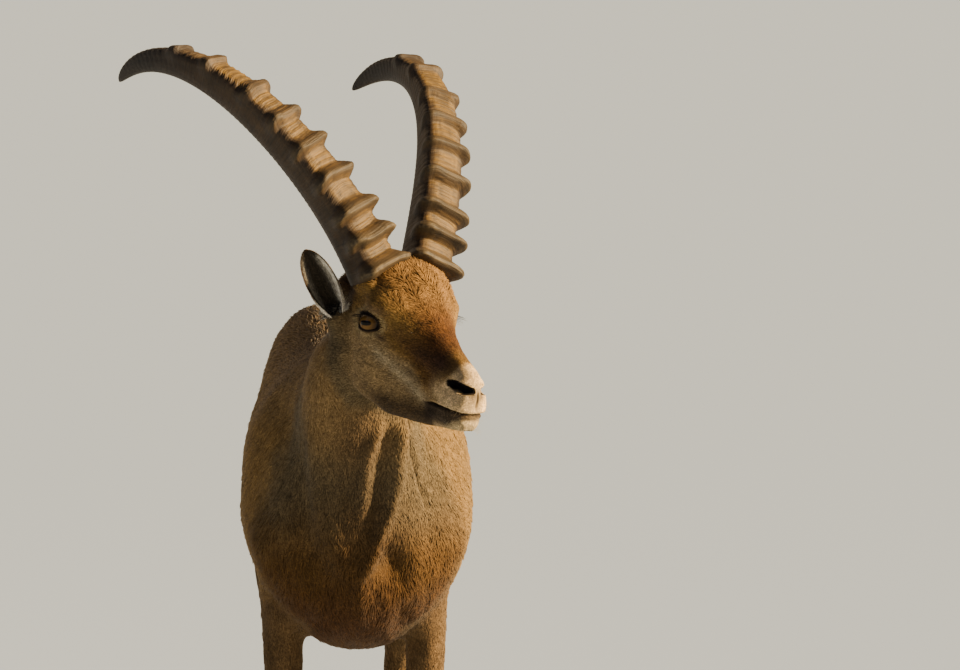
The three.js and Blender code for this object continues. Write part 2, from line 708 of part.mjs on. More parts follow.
// The root of an ear on the skull.
function earRoot(setting) {
  const { axis, mouthWay, root } = earFrame(setting);
  const radius = EAR_ROWS[0][1] + EAR.thickness / 2;
  const stub = new THREE.CylinderGeometry(radius, radius + EAR.flare, EAR.stump + EAR.inside, 14);
  stub.rotateX(Math.PI / 2);
  const middle = root
    .clone()
    .addScaledVector(axis, (EAR.stump - EAR.inside) / 2)
    .addScaledVector(mouthWay, EAR_ROWS[0][1] * EAR.cupMiddle);
  return solid(inHead(stub.applyMatrix4(aimed(middle, axis, mouthWay))));
}

// Moves a point of a leg with the foot that is set back.
function stepped(leg, y, z) {
  return y + leg.back * clamp(1 - z / STANCE_TOP, 0, 1);
}

function limb(leg) {
  const at = through(leg.rows);
  const heights = leg.rows.map((row) => row[0]);
  const rings = heights.map((z) => {
    const [, middle, half, front, back] = at(z);
    return Array.from({ length: LEG_SIDES }, (_, i) => {
      const angle = (2 * Math.PI * i) / LEG_SIDES;
      const x = leg.side * (middle + half * power(Math.cos(angle), 0.92));
      const y = (front + back) / 2 + ((back - front) / 2) * power(Math.sin(angle), 0.92);
      return vector(x, stepped(leg, y, z), z);
    });
  });
  return solid(loft(rings));
}

// Where a foot's pastern ends, for placing its claws.
function footOf(leg) {
  const last = leg.rows.at(-2);
  return { x: leg.side * last[1], toe: last[3] - HOOF.ahead - 7, z: last[0] };
}

// The wedge below the coronet, the line where the hoof meets the hair.
function belowCoronet(leg) {
  const { x, toe } = footOf(leg);
  const shift = stepped(leg, 0, HOOF.coronetToe);
  const [front, back] = [toe - 40, toe + HOOF.length + 60];
  const height = (y) => HOOF.coronetToe - HOOF.coronetFall * (y - toe - HOOF.coronetToe * HOOF.toeSlope);
  const outline = [
    [front + shift, height(front)],
    [back + shift, height(back)],
    [back + shift, -90],
    [front + shift, -90],
  ];
  return (inset) => solid(prism(outline, x - 90, x + 90, inset));
}

function claw(leg, turn) {
  const { x, toe } = footOf(leg);
  const heights = [0, 5, 18, 34, HOOF.height];
  const rings = heights.map((z) => {
    const rounded = z === 0 ? 1.5 : 0;
    const front = toe + z * HOOF.toeSlope + rounded;
    const back = toe + HOOF.length - z * 0.12 - rounded;
    const half = HOOF.width / 2 - z * 0.03 - rounded / 2;
    return Array.from({ length: HOOF.sides }, (_, i) => {
      const angle = (2 * Math.PI * i) / HOOF.sides;
      const [c, s] = [Math.cos(angle), Math.sin(angle)];
      const narrowed = s < 0 ? 1 - 0.42 * s * s : 1;
      const offset = (HOOF.width + HOOF.cleft) / 2 + half * power(c, 0.8) * narrowed - 2.2 * Math.max(0, -s);
      const y = (front + back) / 2 + ((back - front) / 2) * power(s, 0.9);
      return vector(x + turn * offset, stepped(leg, y, z), z);
    });
  });
  return solid(loft(rings));
}

// A dewclaw, or the socket that it sits in when it is made larger by the clearance.
function dewclaw(leg, turn, larger) {
  const at = through(leg.rows)(DEWCLAW.z);
  const cone = new THREE.CylinderGeometry(
    DEWCLAW.radius + larger,
    DEWCLAW.radius * 0.42 + larger,
    DEWCLAW.length + 2 * larger,
    10,
  );
  cone.rotateX(Math.PI / 2 + degrees(DEWCLAW.dip));
  const y = at[4] - DEWCLAW.sunk + DEWCLAW.length / 2;
  cone.translate(leg.side * at[1] + turn * DEWCLAW.spread, stepped(leg, y, DEWCLAW.z), DEWCLAW.z - 6);
  return solid(cone);
}

function tail() {
  const at = through(TAIL.map((row, i) => [i, ...row]));
  const rings = Array.from({ length: 9 }, (_, r) => {
    const t = (r * (TAIL.length - 1)) / 8;
    const [, y, z, half, thick] = at(t);
    const [, y1, z1] = at(Math.min(t + 0.1, TAIL.length - 1));
    const [, y0, z0] = at(Math.max(t - 0.1, 0));
    const across = vector(0, z0 - z1, y1 - y0).normalize();
    return Array.from({ length: 12 }, (_, i) => {
      const angle = (2 * Math.PI * i) / 12;
      return vector(half * Math.cos(angle), y, z).addScaledVector(across, thick * Math.sin(angle));
    });
  });
  return solid(loft(rings));
}

// Regions that part the body: the head in front of the poll, the neck in front of the shoulders,
// the tail, and the legs below the elbow and round the haunch.
function headRegion(inset) {
  const outline = [
    [-140, 155],
    [-28, -200],
    [260, -200],
    [260, 155],
  ];
  const region = prism(outline, -130, 130, inset);
  const axes = new THREE.Matrix4().makeBasis(vector(0, 1, 0), vector(1, 0, 0), vector(0, 0, 1));
  return solid(inHead(outward(region.applyMatrix4(axes))));
}

const NECK_CUT = [
  [26, 880],
  [-178, 560],
  [-420, 560],
  [-420, 1100],
  [26, 1100],
];
const TAIL_CUT = [
  [741, 840],
  [754, 640],
  [860, 640],
  [860, 840],
];
const FORELEG_CUT = { from: 54, to: 220, outline: [[-66, 502], [100, 520], [90, -20], [-96, -20]] };
const HINDLEG_CUT = {
  from: 13,
  to: 220,
  outline: [[498, 470], [516, 600], [600, 700], [700, 726], [790, 700], [790, -20], [560, -20]],
};

function legRegion(leg) {
  const cut = leg.fore ? FORELEG_CUT : HINDLEG_CUT;
  const [near, far] = leg.side === LEFT ? [cut.from, cut.to] : [-cut.to, -cut.from];
  return (inset) => solid(prism(cut.outline, near, far, inset));
}

const below = (height) => (inset) =>
  solid(prism([[-400, height], [1200, height], [1200, -60], [-400, -60]], -300, 300, inset));

// Joins the whole body, then parts it.
const sides = [LEFT, RIGHT];
const nameOf = (side) => (side === LEFT ? "left" : "right");
const pieces = [];
const add = (name, shape, finish) => pieces.push({ name, geometry: surface(largest(shape)), finish });

const face = join([skull(), ...sides.map(hornBoss), ...EAR_AIMS.map(earRoot), ...sides.map((side) => eyeball(side, EYE.radius + EYE.lid))]);
let body = join([bodySkin(), face, tail(), ...LEGS.map(limb)]);
for (const side of sides) {
  body = body.subtract(eyeball(side, EYE.radius + GAP)).subtract(fissure(side)).subtract(nostril(side));
  body = body.subtract(hornSocket(side));
}
body = body.subtract(mouth());

const [head, headless] = part(body, headRegion);
const [neckPart, trunkAndLegs] = part(headless, (inset) => solid(prism(NECK_CUT, -260, 260, inset)));
const [tailPart, rumpAndLegs] = part(trunkAndLegs, (inset) => solid(prism(TAIL_CUT, -34, 34, inset)));
let rest = rumpAndLegs;
for (const leg of LEGS) {
  let whole;
  [whole, rest] = part(rest, legRegion(leg));
  let [lower, upper] = part(whole, below(leg.joint));
  const coronet = belowCoronet(leg);
  lower = largest(lower.subtract(coronet(0)));
  for (const turn of sides) {
    const hand = turn === LEFT ? "left" : "right";
    lower = lower.subtract(dewclaw(leg, turn, GAP));
    add(`${leg.name}_dewclaw_${hand}`, dewclaw(leg, turn, 0), "hoof");
    add(`${leg.name}_hoof_${hand}`, claw(leg, turn).intersect(coronet(GAP)), "hoof");
  }
  add(`${leg.name}_upper`, upper, "coat");
  add(`${leg.name}_lower`, lower, "legs");
}
add("torso", rest, "coat");
add("neck", neckPart, "coat");
add("head", head, "coat");
add("tail", tailPart, "tail");
for (const setting of EAR_AIMS) add(`ear_${nameOf(setting.side)}`, ear(setting), "ear");
for (const side of sides) {
  add(`horn_${nameOf(side)}`, horn(side), "horn");
  add(`eye_${nameOf(side)}`, eyeball(side, EYE.radius), "eye");
}

const group = new THREE.Group();
for (const { name, geometry, finish } of pieces) {
  const material = new THREE.MeshStandardMaterial({ ...FINISH[finish], metalness: 0 });
  const mesh = new THREE.Mesh(geometry, material);
  mesh.name = name;
  group.add(mesh);
}
const box = new THREE.Box3().setFromObject(group);
const centre = box.getCenter(vector(0, 0, 0));
group.position.set(-centre.x, -centre.y, -box.min.z);

export default group;
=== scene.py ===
"""Alpine ibex, life size: skin, coat, horns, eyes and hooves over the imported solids.

Lengths in the classes below are millimetres in the animal's own coordinates, as in the part's
source: +Z up, the body faces -Y, the animal's left side is +X, withers over x = y = 0 and soles
at z = 0. The head has axes of its own, forward, left and up, from the point between the eyes.
"""
import logging
import math
from collections.abc import Callable
from dataclasses import dataclass, field, fields
from enum import Enum

import bmesh
import bpy
import numpy as np
from bpy.types import ID, Material, Mesh, Node, NodeSocket, NodeTree, Object
from mathutils import Matrix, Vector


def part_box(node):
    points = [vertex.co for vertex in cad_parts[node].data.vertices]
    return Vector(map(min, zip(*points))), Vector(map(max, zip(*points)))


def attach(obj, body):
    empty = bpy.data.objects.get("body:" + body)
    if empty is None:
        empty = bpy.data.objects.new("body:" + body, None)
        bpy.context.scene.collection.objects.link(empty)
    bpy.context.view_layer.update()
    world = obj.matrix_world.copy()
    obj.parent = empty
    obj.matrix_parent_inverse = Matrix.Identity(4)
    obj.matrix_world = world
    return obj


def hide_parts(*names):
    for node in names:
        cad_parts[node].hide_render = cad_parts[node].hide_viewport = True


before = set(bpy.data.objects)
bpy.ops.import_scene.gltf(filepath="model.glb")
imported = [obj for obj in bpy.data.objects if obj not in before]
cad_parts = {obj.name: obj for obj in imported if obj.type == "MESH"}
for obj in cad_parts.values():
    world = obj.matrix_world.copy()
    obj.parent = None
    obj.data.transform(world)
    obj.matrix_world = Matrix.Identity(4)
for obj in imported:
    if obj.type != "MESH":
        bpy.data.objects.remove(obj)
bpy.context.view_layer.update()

LOG = logging.getLogger("ibex")
Array = np.ndarray
Lay = Callable[[str, Array], None]
Draw = np.random.Generator
Triple = tuple[float, float, float]

LEFT, RIGHT = 1, -1
HAND = {LEFT: "left", RIGHT: "right"}


def linear(code: str) -> Array:
    """Turns an sRGB hex colour to linear red, green and blue.

    Args:
        code: six hex digits, such as "8a5f3c".

    Returns:
        The three linear values.
    """
    srgb = np.array([int(code[i:i + 2], 16) / 255 for i in (0, 2, 4)])
    return np.where(srgb <= 0.04045, srgb / 12.92, ((srgb + 0.055) / 1.055) ** 2.4)


def unit(vectors: Array) -> Array:
    """Scales vectors along the last axis to length one."""
    size = np.linalg.norm(vectors, axis=-1, keepdims=True)
    return vectors / np.maximum(size, 1e-12)


def step(value: Array, low: float, high: float) -> Array:
    """Smooth step: 0 below low, 1 above high, 3t^2 - 2t^3 between (low may be above high)."""
    t = np.clip((value - low) / (high - low), 0, 1)
    return t * t * (3 - 2 * t)


def signed_power(value: Array, exponent: Array) -> Array:
    """The size of a value raised to a power, with the value's sign kept."""
    return np.sign(value) * np.abs(value) ** exponent


def hill(*terms: tuple[Array, float, float]) -> Array:
    """Rounded hill of height 1: exp(-sum of ((value - centre) / reach)^2) over the terms."""
    return np.exp(-sum(((value - centre) / reach) ** 2 for value, centre, reach in terms))


def around(count: int) -> Array:
    """Evenly spaced angles of one turn, from 0."""
    return 2 * np.pi * np.arange(count) / count


def along_rows(rows: Array, at: Array) -> Array:
    """Reads a table between its rows with cubic steps whose slopes follow the neighbours.

    Args:
        rows: table whose first column is where each row stands.
        at: places to read, in the first column's unit.

    Returns:
        The other columns at those places, one row for each place.
    """
    rows = rows[np.argsort(rows[:, 0])]
    place = rows[:, 0]
    slope = np.empty_like(rows)
    slope[1:-1] = (rows[2:] - rows[:-2]) / (place[2:] - place[:-2])[:, None]
    slope[0] = (rows[1] - rows[0]) / (place[1] - place[0])
    slope[-1] = (rows[-1] - rows[-2]) / (place[-1] - place[-2])
    i = np.clip(np.searchsorted(place, at) - 1, 0, len(rows) - 2)
    gap = (place[i + 1] - place[i])[:, None]
    t = np.clip((at[:, None] - place[i][:, None]) / gap, 0, 1)
    mixed = ((2 * t**3 - 3 * t**2 + 1) * rows[i] + (t**3 - 2 * t**2 + t) * gap * slope[i]
             + (3 * t**2 - 2 * t**3) * rows[i + 1] + (t**3 - t**2) * gap * slope[i + 1])
    return mixed[:, 1:]


@dataclass(frozen=True)
class Waves:
    """Smooth random field: a sum of plane waves in random directions, about -1 to 1.

    Fields: wavelength in mm, seed of the draw, and number of waves.
    """

    wavelength: float
    seed: int
    count: int = 9

    def at(self, points: Array) -> Array:
        """Value of the field at points: the mean of sin(k . p + phase), scaled up."""
        draw = np.random.default_rng(self.seed)
        ways = unit(draw.normal(size=(self.count, 3)))
        stretch = draw.uniform(0.6, 1.7, self.count) * 2 * np.pi / self.wavelength
        phase = draw.uniform(0, 2 * np.pi, self.count)
        total = np.sin(points @ (ways * stretch[:, None]).T + phase).sum(-1)
        return total / (0.7 * self.count) ** 0.5 / 1.6


@dataclass
class Surface:
    """Points in mm and triangles of a closed surface."""

    points: Array
    triangles: Array

    def corners(self) -> list[Array]:
        """The first, the second and the third points of all triangles."""
        return [self.points[self.triangles[:, k]] for k in range(3)]

    def scatter(self, face: Array, draw: Draw) -> tuple[Array, Array]:
        """Random places on triangles: (1 - s - t) a + s b + t c, with s + t folded below 1.

        Args:
            face: number of the triangle of each place.
            draw: seeded random numbers.

        Returns:
            The places, and the unit normals there.
        """
        s, t = draw.uniform(size=(2, len(face)))
        s, t = np.where(s + t > 1, 1 - s, s), np.where(s + t > 1, 1 - t, t)
        weight = np.stack([1 - s - t, s, t], -1)[..., None]
        corner = self.triangles[face]
        return (self.points[corner] * weight).sum(1), unit((self.normals()[corner] * weight).sum(1))

    def normals(self) -> Array:
        """Unit normals of the points: the sum of the normals of the triangles round each."""
        a, b, c = self.corners()
        face = np.cross(b - a, c - a)
        total = np.zeros_like(self.points)
        for k in range(3):
            for axis in range(3):
                total[:, axis] += np.bincount(self.triangles[:, k], face[:, axis], len(self.points))
        return unit(total)

    def turned_out(self) -> "Surface":
        """The same surface with its triangles turned so that its volume is positive."""
        a, b, c = self.corners()
        if np.einsum("ij,ij->i", a, np.cross(b, c)).sum() < 0:
            return Surface(self.points, self.triangles[:, ::-1])
        return self


def loft(rings: Array) -> Surface:
    """Closed surface over rings of points, with a hub at each end."""
    count, sides, _ = rings.shape
    r, i = np.meshgrid(np.arange(count - 1), np.arange(sides), indexing="ij")
    a, b = r * sides + i, r * sides + (i + 1) % sides
    walls = np.stack([np.stack([a, b, b + sides], -1), np.stack([a, b + sides, a + sides], -1)], 2)
    hubs = np.array([count * sides, count * sides + 1])
    i = np.arange(sides)
    j = (i + 1) % sides
    last = (count - 1) * sides
    ends = [np.stack([np.full(sides, hubs[0]), j, i], -1),
            np.stack([np.full(sides, hubs[1]), last + i, last + j], -1)]
    points = np.concatenate([rings.reshape(-1, 3), rings[[0, -1]].mean(1)])
    return Surface(points, np.concatenate([walls.reshape(-1, 3), *ends])).turned_out()


def together(surfaces: list[Surface]) -> Surface:
    """Several surfaces as one list of points and triangles."""
    starts = np.cumsum([0] + [len(s.points) for s in surfaces[:-1]])
    return Surface(np.concatenate([s.points for s in surfaces]),
                   np.concatenate([s.triangles + n for s, n in zip(surfaces, starts)]))


@dataclass
class Paint:
    """Linear colours of many places, over which further colours are laid."""

    tone: Array

    @classmethod
    def plain(cls, code: str, shape: tuple[int, ...]) -> "Paint":
        """The same colour everywhere, for an array of places x 3."""
        return cls(np.broadcast_to(linear(code), shape).copy())

    def lay(self, code: str, part: Array) -> None:
        """Lays a colour over part of the places: tone + (colour - tone) part."""
        self.tone += (linear(code) - self.tone) * np.clip(part, 0, 1)[..., None]


@dataclass(frozen=True)
class Head:
    """Place and axes of the head, and its sections, forms, eyes, nostrils and mouth.

    Each row holds the place forward, the height of the top, half width and height of brow, side
    and jaw, and the height of the underline. Each form holds its centre forward and up, its reach
    both ways and its rise. The neck plane holds its place forward and up, and its slope; the mouth
    line its height, slope and place forward.
    """

    place: Triple = (64, -300, 895)
    yaw: float = 35.7
    pitch: float = 14.6
    roll: float = -3.8
    rows: tuple = (
        (-94, 14, 20, 6, 28, -16, 20, -38, -48), (-82, 44, 36, 30, 47, -12, 36, -58, -74),
        (-56, 68, 44, 55, 60, 0, 47, -74, -97), (-28, 82, 49, 66, 65, 8, 50, -81, -107),
        (-2, 75, 51, 56, 66, 4, 49, -84, -110), (20, 61, 45, 42, 57, -4, 45, -86, -113),
        (40, 44, 33, 29, 46, -12, 40, -85, -111), (62, 26, 23.5, 13.5, 35, -20, 34, -83, -108.5),
        (88, 9.5, 17.5, 0.5, 28.5, -29, 29, -80, -104.5), (112, -1.5, 13.5, -8.5, 27, -37, 27, -75, -99.5),
        (134, -11, 13, -17.5, 24, -42, 25, -73, -95), (148, -19.5, 12.5, -26, 22, -45, 22, -71, -92),
        (157, -31.5, 9.5, -35.5, 16.5, -48, 17, -69, -88), (161.5, -44, 5, -46, 8, -53, 7, -64, -74))
    forms: tuple = (
        (6, 26, 22, 14, 7), (8, -18, 30, 9, 4), (-6, -58, 30, 24, 4), (46, -34, 18, 16, -3),
        (-34, 24, 14, 14, -5), (146, -24, 10, 8, 2.5), (146, -58, 16, 7, 3), (138, -80, 16, 8, 2))
    underline_flat: float = 0.55
    eye: Triple = (-8, 57, 1.5)
    eye_radius: float = 16.5
    lid: float = 3.6
    gaze: tuple[float, float] = (0.35, 0.04)
    opening: Triple = (37, 20, 9)
    nostril: Triple = (145, 19.5, -33.5)
    neck_plane: Triple = (-140, 155, 0.3155)
    mouth_line: Triple = (-68, 0.05, 108)

    def axes(self) -> Array:
        """Forward, left and up as the rows of a matrix, from yaw, pitch and roll."""
        yaw, pitch, roll = np.radians([self.yaw, self.pitch, self.roll])
        forward = np.array([math.sin(yaw) * math.cos(pitch), -math.cos(yaw) * math.cos(pitch),
                            -math.sin(pitch)])
        level = np.array([math.cos(yaw), math.sin(yaw), 0])
        above = np.cross(forward, level)
        left = level * math.cos(roll) + above * math.sin(roll)
        return np.stack([forward, left, above * math.cos(roll) - level * math.sin(roll)])

    def out_of(self, local: Array) -> Array:
        """Points of the head's axes in the animal's coordinates."""
        return np.array(self.place) + local @ self.axes()

    def into(self, points: Array) -> Array:
        """Points of the animal's coordinates in the head's axes."""
        return (points - np.array(self.place)) @ self.axes().T

    def ahead_of_neck(self, f: Array, u: Array) -> Array:
        """How far in mm places are in front of the slanting plane where neck and head meet."""
        return f - (self.neck_plane[0] + (self.neck_plane[1] - u) * self.neck_plane[2])

    def above_mouth(self, f: Array, u: Array) -> Array:
        """Height in mm above the line of the mouth."""
        return u - (self.mouth_line[0] + self.mouth_line[1] * (f - self.mouth_line[2]))

    def across_nostril(self, f: Array, u: Array) -> tuple[Array, Array]:
        """Places in mm along and over the slanting nostril, from its middle."""
        a, b = f - self.nostril[0] + 4, u - self.nostril[2] + 2
        return a * 0.99 - b * 0.12, a * 0.12 + b * 0.99

    def round_eye(self, f: Array, side: Array, u: Array, reach: float) -> tuple[Array, ...]:
        """Places round the eye, taken alike on both sides of the head."""
        middle, axes = self.eye_axes(LEFT)
        rel = np.stack([f, side, u], -1) - middle
        near = np.linalg.norm(rel, axis=1) < reach
        lid = np.full(len(f), 99.0)
        lid[near] = self.lid_distance(rel[near] @ axes[0], rel[near] @ axes[1])
        return lid, rel @ axes[0], rel @ axes[1], near

    def surface(self, rings: int, sides: int) -> Surface:
        """Closed skull and face: each section is a closed Catmull-Rom curve through ten points
        (top, brow, side, jaw, underline and the same on the other side), with the forms of the
        face added sideways."""
        rows = np.array(self.rows, float)
        t = np.linspace(0, 1, rings)
        f = rows[0, 0] + (rows[-1, 0] - rows[0, 0]) * (t - 0.6 * np.sin(2 * np.pi * t) / (2 * np.pi))
        top, brow_l, brow_u, side_l, side_u, jaw_l, jaw_u, under = along_rows(rows, f).T
        flat, none = jaw_l * self.underline_flat, np.zeros_like(f)
        left = np.stack([none, brow_l, side_l, jaw_l, flat, none, -flat, -jaw_l, -side_l, -brow_l])
        up = np.stack([top, brow_u, side_u, jaw_u, under + 1.5, under, under + 1.5, jaw_u, side_u,
                       brow_u])
        knots = np.stack([left, up], -1)
        where = np.arange(sides) * 10 / sides
        i, w = where.astype(int), (where % 1)[:, None, None]
        p0, p1, p2, p3 = (knots[(i + k) % 10] for k in (-1, 0, 1, 2))
        m1, m2 = (p2 - p0) / 2, (p3 - p1) / 2
        curve = ((2 * w**3 - 3 * w**2 + 1) * p1 + (w**3 - 2 * w**2 + w) * m1
                 + (3 * w**2 - 2 * w**3) * p2 + (w**3 - w**2) * m2)
        l, u = curve[..., 0].T, curve[..., 1].T
        f = np.broadcast_to(f[:, None], l.shape)
        lift = sum(rise * hill((f, cf, rf), (u, cu, ru)) for cf, cu, rf, ru, rise in self.forms)
        l = l + np.sign(l) * np.clip(np.abs(l) / 22, 0, 1) * lift
        return loft(self.out_of(np.stack([f, l, u], -1)))

    def eye_axes(self, side: int) -> tuple[Array, Array]:
        """Where an eye is and how it looks."""
        out = np.array([self.gaze[0], side * math.sqrt(1 - self.gaze[0] ** 2), self.gaze[1]])
        out /= np.linalg.norm(out)
        ahead = unit(np.array([1.0, 0, 0]) - out * out[0])
        up = np.cross(out, ahead)
        up = up if up[2] > 0 else -up
        return np.array([self.eye[0], side * self.eye[1], self.eye[2]]), np.stack([ahead, up, out])

    def poll(self) -> Surface:
        """The rise behind the horns, where neck and skull meet."""
        round_ = ball(np.zeros(3), 1.0)
        return Surface(self.out_of(np.array([-95.0, 0, 20]) + round_.points * np.array([30.0, 54, 28])),
                       round_.triangles).turned_out()

    def lid_dome(self, side: int) -> Surface:
        """The lids as a ball round the eye, a little larger than the eyeball."""
        return ball(self.out_of(self.eye_axes(side)[0]), self.eye_radius + self.lid)

    def almond(self) -> Array:
        """Outline of the opening between the lids, as two cubic Bezier arcs in mm."""
        half, bow = self.opening[0] / 2, self.opening[1] / 2
        t = np.linspace(0, 1, 60)[:, None]
        back, ahead = (-half, 0), (half, -bow * 0.12)
        upper = (back, (-half * 0.8, bow * 1.2), (half * 0.45, bow * 1.4), ahead)
        lower = (ahead, (half * 0.68, -bow * 1.2), (-half * 0.75, -bow * 1.15), back)
        arcs = []
        for knots in (upper, lower):
            a, b, c, d = (np.array(p) for p in knots)
            arcs.append((1 - t)**3 * a + 3 * (1 - t)**2 * t * b + 3 * (1 - t) * t**2 * c + t**3 * d)
        tilt = math.radians(self.opening[2])
        turn = np.array([[math.cos(tilt), math.sin(tilt)], [-math.sin(tilt), math.cos(tilt)]])
        return np.concatenate(arcs) @ turn

    def lid_distance(self, across: Array, up: Array) -> Array:
        """Distance from the edge of the lids."""
        outline = self.almond()
        near = np.full(len(across), 1e9)
        for x, y in outline[::2]:
            near = np.minimum(near, np.hypot(across - x, up - y))
        arc = outline[:60][np.argsort(outline[:60, 0])]
        low = outline[60:][np.argsort(outline[60:, 0])]
        inside = ((up < np.interp(across, arc[:, 0], arc[:, 1], -99, -99))
                  & (up > np.interp(across, low[:, 0], low[:, 1], 99, 99)))
        return np.where(inside, -near, near)


def ball(middle: Array, radius: float, rings: int = 24, sides: int = 32) -> Surface:
    """Closed ball: middle + radius (sin a cos b, sin a sin b, cos a)."""
    a = np.linspace(0.02, np.pi - 0.02, rings)[:, None]
    b = np.linspace(0, 2 * np.pi, sides, endpoint=False)[None]
    rings_of = np.stack([np.sin(a) * np.cos(b), np.sin(a) * np.sin(b), np.cos(a) + 0 * b], -1)
    return loft(middle + radius * rings_of)


@dataclass(frozen=True)
class Trunk:
    """Trunk and neck: sections from buttocks to skull, with the muscles on both sides.

    Each row holds y and z of the back, y and z of the underline, the half width, the level of the
    greatest width, the power that squares the upper half, the shift sideways and the turn. Each
    form holds its centre in y and z, its reach both ways and its rise.
    """

    rows: tuple = (
        (748, 724, 748, 672, 16, 0.5, 1, 0, 0), (739, 762, 739, 644, 58, 0.45, 0.95, 0, 0),
        (716, 800, 716, 618, 86, 0.4, 0.82, 0, 0), (676, 832, 676, 590, 100, 0.36, 0.74, 0, 0),
        (620, 852, 620, 558, 109, 0.37, 0.7, 0, 0), (550, 852, 550, 518, 119, 0.41, 0.74, 0, 0),
        (480, 841, 480, 482, 133, 0.46, 0.84, 0, 0), (400, 829, 400, 458, 144, 0.485, 0.96, 2, 0),
        (300, 825, 300, 445, 149.5, 0.5, 1, 3.5, 0), (180, 829, 180, 438, 150, 0.51, 1, 4, 0),
        (90, 839, 86, 436, 151, 0.505, 0.93, 4, 0), (30, 841, 14, 438, 150, 0.485, 0.88, 4, 0),
        (-8, 841, -50, 447, 146, 0.44, 0.82, 4, 0), (-38, 843, -104, 474, 130, 0.4, 0.8, 3, 0),
        (-66, 847, -142, 516, 110, 0.39, 0.8, 2, 0), (-94, 853, -163, 566, 92, 0.42, 0.84, 0, 0),
        (-122, 861, -175, 616, 82, 0.46, 0.88, 0, 0), (-152, 872, -188, 664, 77, 0.5, 0.9, 0, 3),
        (-184, 885, -208, 716, 75, 0.5, 0.9, 2, 9), (-216, 899, -232, 764, 73, 0.5, 0.9, 7, 19),
        (-248, 911, -256, 800, 66, 0.5, 0.9, 18, 29), (-276, 908, -284, 836, 44, 0.5, 0.95, 36, 35))
    forms: tuple = ((24, 722, 50, 78, 5), (20, 606, 62, 52, 5), (-84, 590, 34, 40, 9),
                    (128, 560, 30, 70, -5), (470, 700, 42, 62, -9), (560, 806, 24, 20, 2.5))

    def surface(self, rings: int, sides: int) -> Surface:
        """Closed trunk and neck: squared ovals between back and underline. Height goes with
        sin a to a power, width with cos a to the same power, and the forms are added sideways."""
        rows = np.array(self.rows, float)
        table = np.column_stack([np.arange(len(rows)), rows])
        values = along_rows(table, np.linspace(0, len(rows) - 1, rings))
        back_y, back_z, under_y, under_z, half, level, square, shift, turn = values.T[:, :, None]
        c, s = np.cos(around(sides))[None], np.sin(around(sides))[None]
        shape = np.where(s > 0, square, 1)
        part = level + np.where(s > 0, 1 - level, level) * signed_power(s, shape)
        y = under_y + (back_y - under_y) * part
        z = under_z + (back_z - under_z) * part
        lift = sum(rise * hill((y, cy, ry), (z, cz, rz)) for cy, cz, ry, rz, rise in self.forms)
        out = half * signed_power(c, shape) + np.sign(c) * lift * np.minimum(1, np.abs(c) * 2.5)
        way = np.radians(turn)
        return loft(np.stack([shift + out * np.cos(way), y + out * np.sin(way), z + 0 * out], -1))


